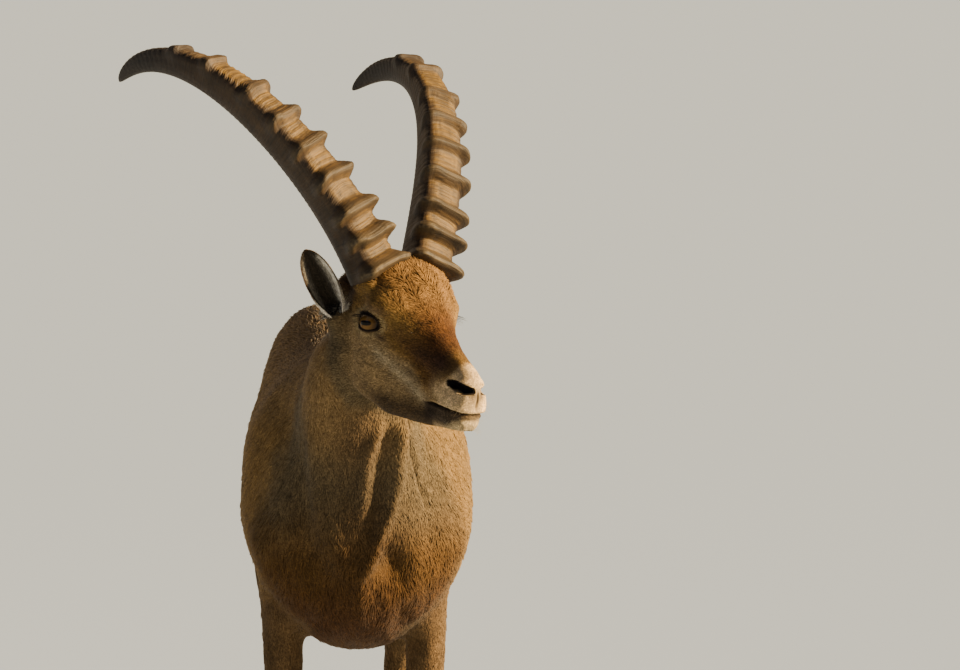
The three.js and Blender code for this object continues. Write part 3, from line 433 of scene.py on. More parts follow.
@dataclass(frozen=True)
class Leg:
    """A leg: sections by height, side, how far the foot is set back, and its names."""

    name: str
    side: int
    back: float
    fore: bool
    stance_top: float = 560
    hoof_width: float = 28
    cleft: float = 3.2
    hoof_length: float = 76
    hoof_height: float = 58
    toe_slope: float = 0.5
    toe_ahead: float = 24
    coronet_toe: float = 45
    coronet_fall: float = 0.4
    spur_height: float = 96
    spur_spread: float = 12.5
    spur_half: float = 12.5
    spur_sunk: float = 9
    spur_dip: float = 38

    def rows(self) -> Array:
        """Height, middle, half width, front edge and back edge."""
        if self.fore:
            table = ((650, 90, 34, -66, 84), (570, 92, 40, -66, 90), (512, 92, 35, -54, 88),
                     (470, 94, 30, -42, 70), (430, 94, 27.5, -34, 52), (380, 92, 25, -27, 39),
                     (330, 90, 23, -22, 31), (296, 89, 24, -24, 30), (268, 88, 25.5, -27, 29),
                     (240, 87.5, 23, -24, 26), (210, 87, 18.5, -17, 22), (170, 86.5, 17, -15, 21),
                     (130, 86, 18, -16, 23), (104, 86, 22.5, -20, 29), (84, 86, 24, -22, 26),
                     (64, 86, 24.5, -27, 20), (46, 86, 27.5, -35, 20), (18, 86, 29, -44, 20))
        else:
            table = ((765, 60, 34, 604, 700), (700, 72, 46, 556, 736), (640, 79, 53, 526, 750),
                     (580, 84, 50, 514, 742), (530, 87, 44, 522, 724), (480, 88, 37, 548, 706),
                     (440, 87, 31, 582, 703), (400, 86, 26.5, 620, 714), (370, 85, 24, 647, 730),
                     (345, 84, 23, 664, 748), (320, 83, 23, 673, 750), (295, 82, 21, 678, 738),
                     (268, 81, 18.5, 682, 727), (225, 80, 17, 684, 722), (180, 80, 17, 682, 719),
                     (135, 80, 18, 679, 718), (106, 80, 22.5, 674, 723), (86, 80, 24, 668, 718),
                     (66, 80, 24.5, 661, 712), (46, 80, 27.5, 653, 710), (18, 80, 29, 644, 710))
        return np.array(table, float)

    def stepped(self, y: Array, z: Array) -> Array:
        """Moves a point back with the foot: y + back (1 - z / stance top), above the floor."""
        return y + self.back * np.clip(1 - z / self.stance_top, 0, 1)

    def foot(self) -> tuple[float, float]:
        """Sideways middle of the foot and place of its toe before it is set back."""
        row = self.rows()[-2]
        return self.side * row[1], row[3] - self.toe_ahead

    def coronet(self, y: Array) -> Array:
        """Height of the line where hair meets hoof, falling towards the heel."""
        toe = self.foot()[1]
        ahead = self.stepped(np.zeros(1), np.array([self.coronet_toe]))[0]
        return self.coronet_toe - self.coronet_fall * (y - ahead - toe - self.coronet_toe * self.toe_slope)

    def surface(self, rings: int, sides: int) -> Surface:
        """Closed leg: near-oval sections down to the coronet."""
        rows = self.rows()
        z = np.linspace(rows[0, 0], rows[-1, 0], rings)
        middle, half, front, back = along_rows(rows, z).T[:, :, None]
        z = z[:, None]
        angle = around(sides)
        x = self.side * (middle + half * signed_power(np.cos(angle), 0.92))
        y = (front + back) / 2 + (back - front) / 2 * signed_power(np.sin(angle), 0.92)
        y = self.stepped(y, z)
        return loft(np.stack([x, y, np.maximum(z, self.coronet(y) + 0.6)], -1))

    def claw(self, turn: int) -> Surface:
        """One claw of the hoof: ovals, narrow at the toe, that lean forward to the sole, its top
        cut at the coronet and its sole flat on the floor with a rounded edge."""
        x, toe = self.foot()
        z = np.concatenate([[0, 0.4, 1.2, 2.5], np.linspace(4.5, self.hoof_height, 26)])[:, None]
        rounded = 1.5 * np.exp(-z / 1.4)
        front, back = toe + z * self.toe_slope + rounded, toe + self.hoof_length - z * 0.12 - rounded
        half = self.hoof_width / 2 - z * 0.03 - rounded / 2
        c, s = np.cos(around(48))[None], np.sin(around(48))[None]
        narrowed = np.where(s < 0, 1 - 0.42 * s * s, 1)
        offset = (self.hoof_width + self.cleft) / 2 + half * signed_power(c, 0.8) * narrowed
        y = self.stepped((front + back) / 2 + (back - front) / 2 * signed_power(s, 0.9), z)
        rib = 0.28 * np.sin(z * 1.45 + 0.03 * y) * step(z, 6, 16)
        x = x + turn * (offset - 2.2 * np.maximum(0, -s) + rib * c)
        return loft(np.stack([x, y + rib * s, np.minimum(z, self.coronet(y) - 0.4)], -1))

    def dewclaw(self, turn: int) -> Surface:
        """Small blunt cone behind the fetlock that points back and down."""
        level, dip = np.array([float(self.spur_height)]), math.radians(self.spur_dip)
        middle, _, _, back = along_rows(self.rows(), level)[0]
        y = self.stepped(np.array([back - self.spur_sunk + self.spur_half]), level)[0]
        centre = np.array([self.side * middle + turn * self.spur_spread, y, self.spur_height - 6])
        way = np.array([0, -math.sin(dip), math.cos(dip)])
        across = np.cross(way, [1, 0, 0])
        t = np.linspace(-1, 1, 22)[:, None, None]
        radius = (5.7 + 2.3 * t) * np.sqrt(np.clip(1 - np.abs(t) ** 5, 0.01, 1)) + 0.12 * np.sin(9 * t)
        angle = around(20)[None, :, None]
        ring = np.cos(angle) * np.array([1, 0, 0]) + np.sin(angle) * across
        return loft(centre + way * self.spur_half * t + radius * ring)


@dataclass(frozen=True)
class Tail:
    """Tail: sections of y, z, half width and half thickness along its middle."""

    rows: tuple = ((712, 786, 26, 18), (744, 776, 25, 17), (768, 752, 25, 15), (782, 716, 24, 13),
                   (790, 680, 17, 10), (793, 656, 5, 4))

    def rings(self, count: int, sides: int) -> Array:
        """Ovals across the middle line of the tail."""
        rows = np.array(self.rows, float)
        table = np.column_stack([np.arange(len(rows)), rows])
        t = np.linspace(0, len(rows) - 1, count)
        y, z, half, thick = along_rows(table, t).T
        ahead = along_rows(table, np.minimum(t + 0.1, len(rows) - 1))
        behind = along_rows(table, np.maximum(t - 0.1, 0))
        across = unit(np.stack([0 * t, behind[:, 1] - ahead[:, 1], ahead[:, 0] - behind[:, 0]], -1))
        angle = around(sides)
        middle = np.stack([0 * y, y, z], -1)[:, None]
        out = np.outer(half, np.cos(angle))[..., None] * np.array([1.0, 0, 0])
        return middle + out + np.outer(thick, np.sin(angle))[..., None] * across[:, None]


@dataclass(frozen=True)
class Ear:
    """An ear: a curled sheet, a tube at its root and open towards its tip.

    Each row holds the part of the length, the radius of the curl and its half angle.
    """

    side: int
    aim: Triple
    opening: Triple
    length: float = 118
    root: Triple = (-71, 64, -8)
    stump: float = 12
    inside: float = 26
    flare: float = 9
    thickness: float = 3.6
    rows: tuple = ((0, 13, 148), (0.1, 14.5, 128), (0.25, 17.5, 106), (0.45, 19.5, 86), (0.65, 18.5, 74),
                   (0.82, 15, 64), (0.93, 9.5, 54), (1, 3, 40))

    def axes(self) -> tuple[Array, Array, Array, Array]:
        """Root, way to the tip, way the cup opens and way across it, in the head's axes."""
        way = unit(np.array(self.aim))
        mouth = np.array(self.opening)
        mouth = unit(mouth - way * (mouth @ way))
        root = np.array(self.root) * np.array([1, self.side, 1])
        return root, way, mouth, np.cross(way, mouth)

    def surface(self, head: Head, rings: int = 56, points: int = 49) -> Surface:
        """Closed sheet: each section is an arc of the table's radius and half angle, with an
        outer and an inner skin, gristle ridges inside, and a thin edge."""
        root, way, mouth, across = self.axes()
        t = np.linspace(0, 1, rings)
        radius, half = along_rows(np.array(self.rows, float), t).T
        t, radius, half = t[:, None], radius[:, None], half[:, None]
        turn = np.linspace(-1, 1, points)[None]
        distance = self.stump + (self.length - self.stump) * t
        forward = -6 * np.sin(np.pi * t) + 5 * t * t
        thick = self.thickness * (1 - 0.5 * t) * (1 - 0.7 * np.abs(turn) ** 4)
        ridges = 1.3 * np.sin(np.pi * t) ** 0.7 * (hill((turn, -0.42, 0.1)) + hill((turn, 0.02, 0.1))
                                                   + hill((turn, 0.45, 0.1)))
        arcs = []
        for offset, ways in ((thick / 2, slice(None)), (-thick / 2 - ridges, slice(None, None, -1))):
            angle, reach = np.radians(half) * turn, radius + np.maximum(offset, -radius * 0.6)
            m = forward + radius * 0.55 - reach * np.cos(angle)
            x = reach * np.sin(angle)
            full = (root + way * distance[..., None] + mouth * m[..., None] + across * x[..., None])
            arcs.append(full[:, ways])
        return loft(head.out_of(np.concatenate(arcs, 1)))

    def stub(self, head: Head) -> Surface:
        """The ear's root on the skull, a short cone."""
        root, way, mouth, across = self.axes()
        radius = self.rows[0][1] + 2.2
        length = self.stump + self.inside
        middle = root + way * (self.stump - self.inside) / 2 + mouth * self.rows[0][1] * 0.55
        t = np.linspace(-0.5, 0.5, 10)[:, None, None]
        size = radius + self.flare * (0.5 - t)
        angle = around(32)[None, :, None]
        ring = np.cos(angle) * mouth + np.sin(angle) * across
        return loft(head.out_of(middle + way * length * t + size * ring))


@dataclass(frozen=True)
class Horn:
    """A horn: middle line with its sweep and spread, section, and knobs across its front."""

    side: int
    length: float = 514
    root: Triple = (-53, 43, 59)
    sunk: float = 12
    sweep: tuple = (30.1, 64.5, -20.7, 55.5, 15.3)
    spread: tuple = (21.4, 27.2, -43.6, -13.1)
    depth: float = 65
    width: float = 70
    taper: float = 0.248
    bluntness: float = 2.4
    places: tuple = (0, 38.5, 74, 123, 171, 217.5, 268.5, 335.5, 388)
    rise: float = 21
    rise_at_tip: float = 7
    sideways: float = 0.7
    half_thickness: float = 8.5

    def line(self, at: Array) -> tuple[Array, Array, Array, Array]:
        """The horn's middle line: sweep and spread are polynomials of the part of the length, in
        degrees, and the line is the sum of the steps along the way."""
        steps = 400
        s = np.arange(steps + 1) / steps

        def way(part: Array) -> tuple[Array, Array]:
            """Unit way of the line, and its sweep in radians, at parts of the length."""
            back = np.radians(sum(k * part**i for i, k in enumerate(self.sweep)))
            out = np.radians(sum(k * part**i for i, k in enumerate(self.spread)))
            turned = [-np.sin(back) * np.cos(out), self.side * np.sin(out), np.cos(back) * np.cos(out)]
            return np.stack(turned, -1), back

        stride = way(s[:-1] + 0.5 / steps)[0] * self.length / steps
        root = np.array(self.root) * np.array([1, self.side, 1])
        middle = np.concatenate([[root], root + np.cumsum(stride, 0)])
        along, back = way(s)
        front = np.stack([np.cos(back), 0 * back, np.sin(back)], -1)
        front = unit(front - along * (front * along).sum(-1, keepdims=True))
        outer = np.cross(front, along)
        outer *= np.sign(outer[:, 1:2]) * self.side
        place = np.clip(at / self.length, 0, 1)
        read = [np.stack([np.interp(place, s, table[:, k]) for k in range(3)], -1)
                for table in (middle, along, front, outer)]
        read[0] = read[0] + read[1] * np.minimum(at, 0)[:, None]
        return read[0], unit(read[1]), unit(read[2]), unit(read[3])

    def knob(self, at: Array) -> Array:
        """Outward height of the knobs: steep below, rounded on top, sloping towards the tip."""
        total = np.zeros_like(at)
        for i, place in enumerate(self.places):
            rise = self.rise + (self.rise_at_tip - self.rise) * i / (len(self.places) - 1)
            away = (at - place) / self.half_thickness
            total += rise * step(away, -1.45, -0.2) * (1 - step(away, 0.0, 1.9))
        return total

    def grid(self, rings: int, sides: int) -> tuple[Array, Array, Array, Array]:
        """Points of the horn: a squared oval, the knobs on its front and fine growth lines."""
        cut = self.sunk - 0.3
        at = np.linspace(-cut, self.length - 0.2, rings)
        middle, _, front, outer = (v[:, None] for v in self.line(at))
        s = np.clip(at / self.length, 0, 1)
        size = ((1 - self.taper * s) * np.sqrt(np.maximum(1 - s**self.bluntness, 0.003)))[:, None]
        angle = (2 * np.pi * (np.arange(sides) + 0.5) / sides)[None]
        c, d = np.cos(angle), np.sin(angle)
        place = at[:, None] + 0 * angle
        wave = Waves(34, 5 + self.side, 7)
        seat = np.stack([place * 0.4, 26 * c + 0 * place, 26 * d + 0 * place], -1)
        wander = wave.at(seat.reshape(-1, 3)).reshape(place.shape)
        bent = place + 2.2 * wander + 7 * np.abs(c) * (1 - d) * 0.5
        knob = self.knob(bent.ravel()).reshape(place.shape)
        share = np.clip((d + 0.1) / 0.7, 0, 1)
        share = share * share * (3 - 2 * share) * (1 - 0.22 * hill((c, 0, 0.35)) * (d > 0))
        fine = (0.34 * np.sin(2 * np.pi * bent / 3.1 + 2.4 * wander) + 0.55 * np.sin(2 * np.pi * bent / 8.7))
        fine = fine * (0.35 + 0.65 * np.clip(d, 0, 1)) * (0.7 + 0.5 * wander) * step(size, 0.12, 0.5)
        flat = np.where(d > 0, 0.1, 0)
        broad = self.depth / 2 * size * signed_power(d, 0.78 - flat)
        wide = self.width / 2 * size * (0.82 + 0.18 * d) * signed_power(c, 0.72 - flat)
        rise = share * knob * 0.95 * np.clip(d + 0.2, 0, 1) + fine * d
        aside = share * knob * self.sideways * c + fine * c
        points = middle + front * (broad + rise)[..., None] + outer * (wide + aside)[..., None]
        return points, place, angle + 0 * place, share * knob / self.rise


class Finish(Enum):
    """Names of the record's material slots."""

    COAT = "coat"
    HORN = "horn"
    HOOF = "hoof"
    EYE = "eye"


@dataclass(frozen=True)
class Markings:
    """Colours of the summer coat as formulas of the place on the animal, shared by skin and hair, with
    painted shade and highlight in a few places.
    """

    head: Head
    back: str = "795f3b"
    flank: str = "795d34"
    belly: str = "ab946d"
    dorsal: str = "634325"
    neck: str = "5d4e36"
    throat: str = "775e3b"
    nape: str = "6f5028"
    chest: str = "4d3312"
    brisket: str = "492e14"
    leg: str = "5f492e"
    leg_back: str = "825c31"
    cheek: str = "846b47"
    face: str = "7a5c2e"
    forehead: str = "74542b"
    bridge: str = "4a2b0f"
    patch: str = "35241f"
    muzzle: str = "caaa7c"
    chin: str = "b89f75"
    jaw: str = "322312"
    ring: str = "947e56"
    rim: str = "1c130e"
    tail: str = "2c1d14"
    rump: str = "d9cbb2"
    behind_ear: str = "b3a68c"
    # darker breast hair together with painted shade
    low_breast: str = "3a2817"
    # painted shadow of the head on the throat
    high_breast: str = "33241a"
    # paler hair with a painted highlight along the cheek's crest
    cheek_streak: str = "a39272"
    cheek_top: str = "5f4527"
    poll: str = "4a3220"
    # dark lower lip with the painted shadow of the upper lip
    below_mouth: str = "2b1f16"
    lid_crease: str = "80644a"
    tear_line: str = "4b3524"
    # painted shade inside the nostrils
    in_nostril: str = "0e0908"
    nose_groove: str = "2a1d17"
    nose_pad: str = "33251c"
    # painted shade in the mouth's gap
    in_mouth: str = "20150f"

    def colour(self, points: Array) -> Array:
        """Linear colours at points: body and head are coloured apart, meet at the neck's plane,
        and get a common grain."""
        f, l, u = self.head.into(points).T
        side = np.abs(l)
        soft = 9 * Waves(60, 3).at(points)
        body, face = Paint.plain(self.flank, points.shape), Paint.plain(self.face, points.shape)
        self._paint_body(body.lay, points, soft)
        body.lay(self.behind_ear, 0.8 * hill((f, -97, 15), (side, 60, 22), (u, -26, 22)))
        self._paint_breast_and_legs(body.lay, points, soft)
        self._paint_head(face.lay, f, side, u, soft)
        self._paint_features(face.lay, f, side, u)
        head = step(self.head.ahead_of_neck(f, u) + 0.6 * soft, -8, 12)
        tone = body.tone + (face.tone - body.tone) * head[:, None]
        grain = 1 + 0.13 * Waves(24, 8).at(points) + 0.14 * Waves(9, 9).at(points)
        return np.clip(tone * grain[:, None], 0.003, 1)

    def _paint_body(self, lay: Lay, points: Array, soft: Array) -> None:
        """Back, dorsal line, belly, rump and neck."""
        x, y, z = points.T
        lay(self.back, step(z + soft, 730, 800))
        lay(self.dorsal, 0.75 * hill((x, 0, 16)) * step(z, 800, 822) * step(y, -100, -40))
        lay(self.belly, step(z + soft, 520, 470) * step(y, 90, 150) * step(y, 640, 560))
        lay(self.rump, step(y, 705, 740) * hill((z, 700, 60)) * step(np.abs(x), 60, 20))
        neck = step(y + 0.25 * (z - 700) + soft, -60, -120)
        lay(self.neck, neck * step(z, 560, 640))
        lay(self.throat, neck * step(z, 640, 760) * step(y - 0.2 * (z - 800), -150, -215))
        lay(self.nape, 0.9 * neck * step(z - 0.2 * (-y - 200) + soft, 838, 866))

    def _paint_breast_and_legs(self, lay: Lay, points: Array, soft: Array) -> None:
        """Breast, brisket, legs and tail, with painted shade on the breast and throat."""
        x, y, z = points.T
        lay(self.chest, step(z + 1.5 * soft, 700, 530) * step(y, -20, -90))
        lay(self.brisket, step(z + soft, 560, 480) * step(y, 60, -60))
        # partly darker hair, partly painted shade in the middle of the breast
        lay(self.low_breast, 0.45 * hill((x, 0, 56), (z, 620, 110)) * step(y, -40, -90))
        # painted shadow of the head across the middle of the throat
        lay(self.high_breast, 0.5 * hill((x, 0, 30), (z, 742, 50)) * step(y, -100, -150))
        elbow = step(z + soft, 560, 480) * step(np.abs(y - 10), 95, 70) * step(np.abs(x), 50, 70)
        on_leg = np.maximum(step(z, 480, 420), elbow)
        hind = step(z + soft, 620, 470) * step(y, 500, 560)
        lay(self.leg, np.maximum(on_leg, hind) * 0.9)
        lay(self.leg_back, 0.6 * on_leg * step(z, 330, 250) * step(np.abs(y - 10), 8, 30) * step(y, 300, 0))
        lay(self.leg_back, 0.6 * on_leg * step(z, 330, 250) * step(y, 700, 722))
        lay(self.tail, step(y, 744, 764) * step(z + 0.4 * (y - 700), 690, 700) * step(np.abs(x), 40, 30))

    def _paint_head(self, lay: Lay, f: Array, side: Array, u: Array, soft: Array) -> None:
        """Cheeks, jaw, forehead, bridge of the nose, muzzle and chin, with a painted highlight along the
        cheek's crest and painted shade under the upper lip.
        """
        lay(self.cheek, step(u + 0.68 * np.clip(f - 8, 0, 200) + 0.5 * soft, 9, -8) * step(f, 128, 100))
        # pale strip on the cheek's crest: partly paler hair, partly painted highlight
        lay(self.cheek_streak, 0.6 * hill((u + 0.5 * f, -24, 9)) * step(f, 0, 20) * step(f, 110, 80))
        lay(self.cheek_top, 0.55 * hill((u + 0.45 * f, 14, 9)) * step(f, 10, 40) * step(side, 14, 24))
        lay(self.neck, step(f + 0.2 * u, -38, -62))
        lay(self.jaw, 0.85 * step(u + 0.35 * soft, -72, -92) * step(f, 132, 118) * step(f, -30, 30))
        lay(self.jaw, 0.5 * hill((u, -84, 10), (f, 70, 40)))
        lay(self.forehead, step(u - 0.45 * side + 0.3 * f + 0.5 * soft, 8, 30) * step(f, 100, 70))
        lay(self.forehead, 0.8 * step(side, 33, 20) * step(f, -40, 0) * step(f, 104, 84)
            * step(u + 0.5 * f, 20, 34))
        lay(self.poll, 0.8 * step(f, -40, -56) * step(u, 6, 26))
        lay(self.bridge, 0.6 * step(f, 26, 62) * step(u + 0.66 * (f - 8) + 0.4 * soft, -6, 9)
            * step(f, 112, 96))
        lay(self.bridge, 0.85 * hill((f + 0.4 * soft, 84, 34)) * step(side, 34, 18) * step(u, -34, -18))
        lay(self.patch, 0.85 * hill((f, 106, 21), (side, 24, 12), (u, -16, 15)))
        lay(self.patch, 0.5 * hill((f, 78, 22), (side, 30, 8), (u, -14, 14)))
        lay(self.muzzle, step(f + 0.25 * (-u - 30) + 0.25 * soft, 117, 131))
        lay(self.muzzle, 0.8 * step(f, 88, 116) * hill((u, -50, 13)))
        line = self.head.above_mouth(f, u)
        lay(self.chin, step(f, 118, 136) * step(u, -70, -78))
        # dark band under the mouth: partly dark lip, partly painted shadow of the overhanging upper lip
        lay(self.below_mouth, 0.94 * step(f - 1.5 * line, 178, 160) * step(f, 84, 100) * step(line, 0, -2)
            * step(line, -36, -18))

    def _paint_features(self, lay: Lay, f: Array, side: Array, u: Array) -> None:
        """Lids with the pale ring round them, nostrils, nose and mouth, with painted shade in the nostrils,
        in the mouth's gap and under the upper lid.
        """
        lid, across, up, near = self.head.round_eye(f, side, u, 46)
        lay(self.ring, 0.8 * hill((lid, 7.5, 4.0)) * near)
        lay(self.lid_crease, 0.6 * hill((across, 8, 16), (up, 19, 5)) * near)
        lay(self.tear_line, 0.8 * hill((across, 25, 9), (up + 0.35 * across, -3, 3.6)))
        # the dark rim reaches further above the eye: partly the upper lid's dark margin, partly painted
        # shadow of the upper lid
        margin_and_lid_shadow = 1.2 * step(up, 2, 8)
        lay(self.rim, step(lid - margin_and_lid_shadow, 4.6, 1.4) * near)
        along, over = self.head.across_nostril(f, u)
        # black inside the nostrils: painted shade of their holes
        lay(self.in_nostril, step(np.hypot(along / 19.5, over / 7.0), 1.1, 0.9) * (side > 4))
        lay(self.nose_groove, 0.85 * hill((side, 0, 2.3)) * step(f, 146, 156) * step(u, -62, -54)
            * step(u, -30, -42))
        lay(self.nose_pad, 0.7 * hill((side, 6, 5), (u, -43, 6)) * step(f, 150, 156))
        # dark line along the mouth: painted shade of the gap between the lips
        lay(self.in_mouth, hill((self.head.above_mouth(f, u), -0.4, 2.0)) * step(f, 95, 103))


@dataclass(frozen=True)
class Placement:
    """Moves the animal's coordinates in mm to the frame's in metres."""

    shift: Triple

    def place(self, points: Array) -> Array:
        """Points in mm of the animal to metres of the frame."""
        return (points + np.array(self.shift)) / 1000


@dataclass
class Skin:
    """One closed skin over body, neck, head, legs and tail, with the ears' sheets on it.

    The solids' shapes are joined by a voxel remesh in a space where the head is drawn larger, so
    that its cells are finer there, then smoothed, drawn in by the coat's depth and given the
    folds of the face.
    """

    head: Head
    trunk: Trunk
    legs: tuple[Leg, ...]
    tail: Tail
    ears: tuple[Ear, ...]
    horns: tuple[Horn, ...]
    voxel: float = 6.4
    most: int = 168000
    zoom: float = 2.7
    near: float = 150
    far: float = 330
    focus: Triple = (30, 0, -12)

    def _warp(self) -> tuple[Array, Array, Array]:
        """The space in which the head is larger: its slope falls from the zoom to 1 with radius."""
        radius = np.linspace(0, 3000, 6001)
        slope = 1 + (self.zoom - 1) * (1 - step(radius, self.near, self.far))
        drawn = np.concatenate([[0], np.cumsum((slope[1:] + slope[:-1]) / 2 * np.diff(radius))])
        return self.head.out_of(np.array(self.focus, float)), radius, drawn

    @staticmethod
    def _radial(points: Array, source: Array, target: Array, middle: Array) -> Array:
        """Moves points along their rays from the middle, from one scale of radii to another."""
        away = points - middle
        size = np.maximum(np.linalg.norm(away, axis=1), 1e-9)
        return middle + away * (np.interp(size, source, target) / size)[:, None]

    def whole(self) -> Surface:
        """Joins the closed shapes into one surface by a voxel remesh."""
        shapes = [self.trunk.surface(200, 120), self.head.surface(150, 160),
                  *(leg.surface(150, 40) for leg in self.legs), loft(self.tail.rings(40, 32)),
                  *(ear.stub(self.head) for ear in self.ears),
                  *(self.head.lid_dome(s) for s in (LEFT, RIGHT)), self.head.poll()]
        for horn in self.horns:
            rings = horn.grid(60, 40)[0][:1]
            away = horn.line(np.array([0.0]))[1]
            cut = np.array([0.3, 34.0])[:, None, None]
            shapes.append(loft(self.head.out_of(rings - away[:, None] * cut)))
        surface = together(shapes)
        middle, radius, drawn = self._warp()
        big = Surface(self._radial(surface.points, radius, drawn, middle), surface.triangles)
        cell = self.voxel / 1000 * 1
        joined = self._modified(big, "REMESH", mode="VOXEL", voxel_size=cell)
        back = self._radial(joined.points, drawn, radius, middle)
        return Surface(back, joined.triangles).turned_out()

    @staticmethod
    def _modified(surface: Surface, kind: str, **settings) -> Surface:
        """A surface in mm as a modifier of Blender leaves it, with settings in metres."""
        mesh = bpy.data.meshes.new("draft")
        fill_mesh(mesh, surface.points / 1000, surface.triangles)
        draft = bpy.data.objects.new("draft", mesh)
        bpy.context.scene.collection.objects.link(draft)
        modifier = draft.modifiers.new("draft", kind)
        for name, value in settings.items():
            setattr(modifier, name, value)
        evaluated = draft.evaluated_get(bpy.context.evaluated_depsgraph_get())
        found = read_mesh(evaluated.to_mesh())
        evaluated.to_mesh_clear()
        bpy.data.objects.remove(draft)
        bpy.data.meshes.remove(mesh)
        return Surface(found.points * 1000, found.triangles)

    @staticmethod
    def smooth(surface: Surface, passes: int, part: Array | float = 0.0) -> Surface:
        """Moves each point towards the mean of its neighbours, then half as far back.

        Args:
            surface: what to smooth.
            passes: how many times.
            part: how strongly each point is smoothed without the step back, 0 to 1.

        Returns:
            The smoothed surface.
        """
        tri = surface.triangles
        edges = np.concatenate([tri[:, [0, 1]], tri[:, [1, 2]], tri[:, [2, 0]]])
        one, two = np.unique(np.sort(edges, 1), axis=0).T
        count = np.bincount(np.concatenate([one, two]), minlength=len(surface.points))[:, None]
        points = surface.points.copy()

        def pull(size: Array) -> None:
            """One step towards the neighbours' mean."""
            total = np.stack([np.bincount(one, points[two, k], len(points))
                              + np.bincount(two, points[one, k], len(points)) for k in range(3)], -1)
            points[:] += size * (total / np.maximum(count, 1) - points)

        for _ in range(passes):
            pull(0.5)
            pull(-0.52 * (1 - np.reshape(part, (-1, 1))))
        return Surface(points, tri)

    def depth(self, points: Array) -> Array:
        """Depth of the coat in mm: thin on face and feet, thicker on neck and trunk."""
        f, _, u = self.head.into(points).T
        face = step(self.head.ahead_of_neck(f, u), -10, 30)
        deep = 3.6 - 1.0 * step(points[:, 2], 520, 420) - 1.2 * step(points[:, 2], 200, 120)
        return deep + (2.2 - 0.6 * step(f, 90, 130) - deep) * face

    def muscles(self, points: Array, normal: Array) -> Array:
        """Straps of the throat, grooves beside the neck, keel and hollows of the breast. Each
        strand is a hill round a line of sideways places by level."""
        x, y, z = points.T
        front = step(-normal[:, 1], 0.0, 0.5) * step(y, 60, 10)
        total = np.zeros_like(x)
        for levels, places, broad, rise in (
                ((549, 598, 640, 676, 710, 765), (4, 25, 39, 49, 53, 60), 10, 10.0),
                ((640, 674, 709, 744, 765), (94, 87, 77, 68, 64), 4.5, -6.0),
                ((549, 583, 630, 664, 731, 765), (-8, -24, -44, -56, -64, -68), 14, 4.5),
                ((640, 664, 690, 730, 760), (5, 6, 8, 16, 30), 8, 4.5),
                ((600, 647, 714, 750), (17, 22, 29, 38), 8, -5.0),
                ((560, 637, 714, 760), (105, 100, 92, 88), 15, -4.0),
                ((560, 580, 748, 780), (-64, -67, -88, -92), 18, -10.0)):
            ends = step(z, levels[0] - 10, levels[0] + 30) * step(z, levels[-1] + 20, levels[-1] - 20)
            total += rise * ends * hill((x - np.interp(z, levels, places), 0, broad))
        total -= 16 * hill((x, 48, 21), (z, 568, 27)) + 8 * hill((x, -50, 24), (z, 552, 36))
        total += 6 * hill((x, 2, 15), (z, 520, 60))
        total -= 5 * hill((np.abs(x), 64, 17), (z, 486, 34))
        return total * front

    def folds(self, surface: Surface) -> Surface:
        """Adds lids, nostrils, mouth and the creases round them to the face."""
        local = self.head.into(surface.points)
        out = surface.normals() @ self.head.axes().T
        side = np.abs(local[:, 1])
        self._open_lids(local)
        self._carve_nose(local, out, side)
        self._carve_mouth(local, out)
        self._crease(local, out, side)
        return Surface(self.head.out_of(local), surface.triangles)

    def _open_lids(self, local: Array) -> None:
        """Lifts the lids to the eyeball's ball with a thin edge and two creases, and sinks what
        lies in their opening."""
        head = self.head
        for hand in (LEFT, RIGHT):
            middle, axes = head.eye_axes(hand)
            rel = local - middle
            across, up, ahead = (rel @ axes.T).T
            size = np.linalg.norm(rel, axis=1)
            pick = (ahead > 2) & (size < 34)
            lid = head.lid_distance(across[pick], up[pick])
            margin = head.eye_radius + 0.8
            now = size[pick]
            reach = margin + (np.maximum(now, margin) - margin) * step(lid, 0, 6.5)
            reach = np.where(lid < 0, margin + (13.0 - margin) * step(-lid, 0.0, 0.9), reach)
            above = step(up[pick], -1, 3)
            reach -= np.where(lid > 0, 0.9 * above * hill((lid, 5.2, 0.9)), 0)
            below = (1 - above) * (0.6 * hill((lid, 4.4, 0.9)) + 0.5 * hill((lid, 9.5, 1.2)))
            reach -= np.where(lid > 0, below, 0)
            edge = 0.8 * above * hill((lid, 2.4, 1.6)) + 0.6 * (1 - above) * hill((lid, 2, 1.3))
            reach += np.where(lid > 0, edge, 0)
            tall = np.where(now < 26, reach, now)
            mixed = tall + (now - tall) * step(now, 21, 25)
            local[pick] = middle + rel[pick] / now[:, None] * mixed[:, None]

    def _carve_nose(self, local: Array, out: Array, side: Array) -> None:
        """Sinks the bowed nostrils and lifts their upper rims."""
        f, l, u = local.T
        along, over = self.head.across_nostril(f, u)
        bow = over - 0.012 * along**2 + 1.2
        nose = np.hypot(along / 19.0, bow / 6.2)
        fore = (side > 5) & (f > 120)
        pit = np.where(fore, step(nose, 1.08, 0.45), 0)
        rim = np.where(fore, hill((nose, 1.35, 0.28)) * step(over, -1, 3), 0)
        local -= out * (8.5 * pit - 0.6 * rim)[:, None]
        local[:, 1] -= np.sign(l) * 2.0 * pit

    def _carve_mouth(self, local: Array, out: Array) -> None:
        """Cuts the mouth's line between rounded lips, and the groove from nose to lip."""
        f, l, u = local.T
        line = self.head.above_mouth(f, u)
        slit = 5.0 * hill((line, -0.6, 1.8)) + 2.0 * step(line, -0.5, -2.5) * step(line, -17, -7)
        lips = slit - 0.7 * hill((line, 3.6, 2.2)) - 0.5 * hill((line, -4.4, 2.2))
        local -= out * (step(f, 94, 104) * lips)[:, None]
        groove = step(f, 150, 156) * hill((l, 0, 1.1)) * step(u, -63, -58) * step(u, -34, -40)
        local -= out * (1.6 * groove)[:, None]

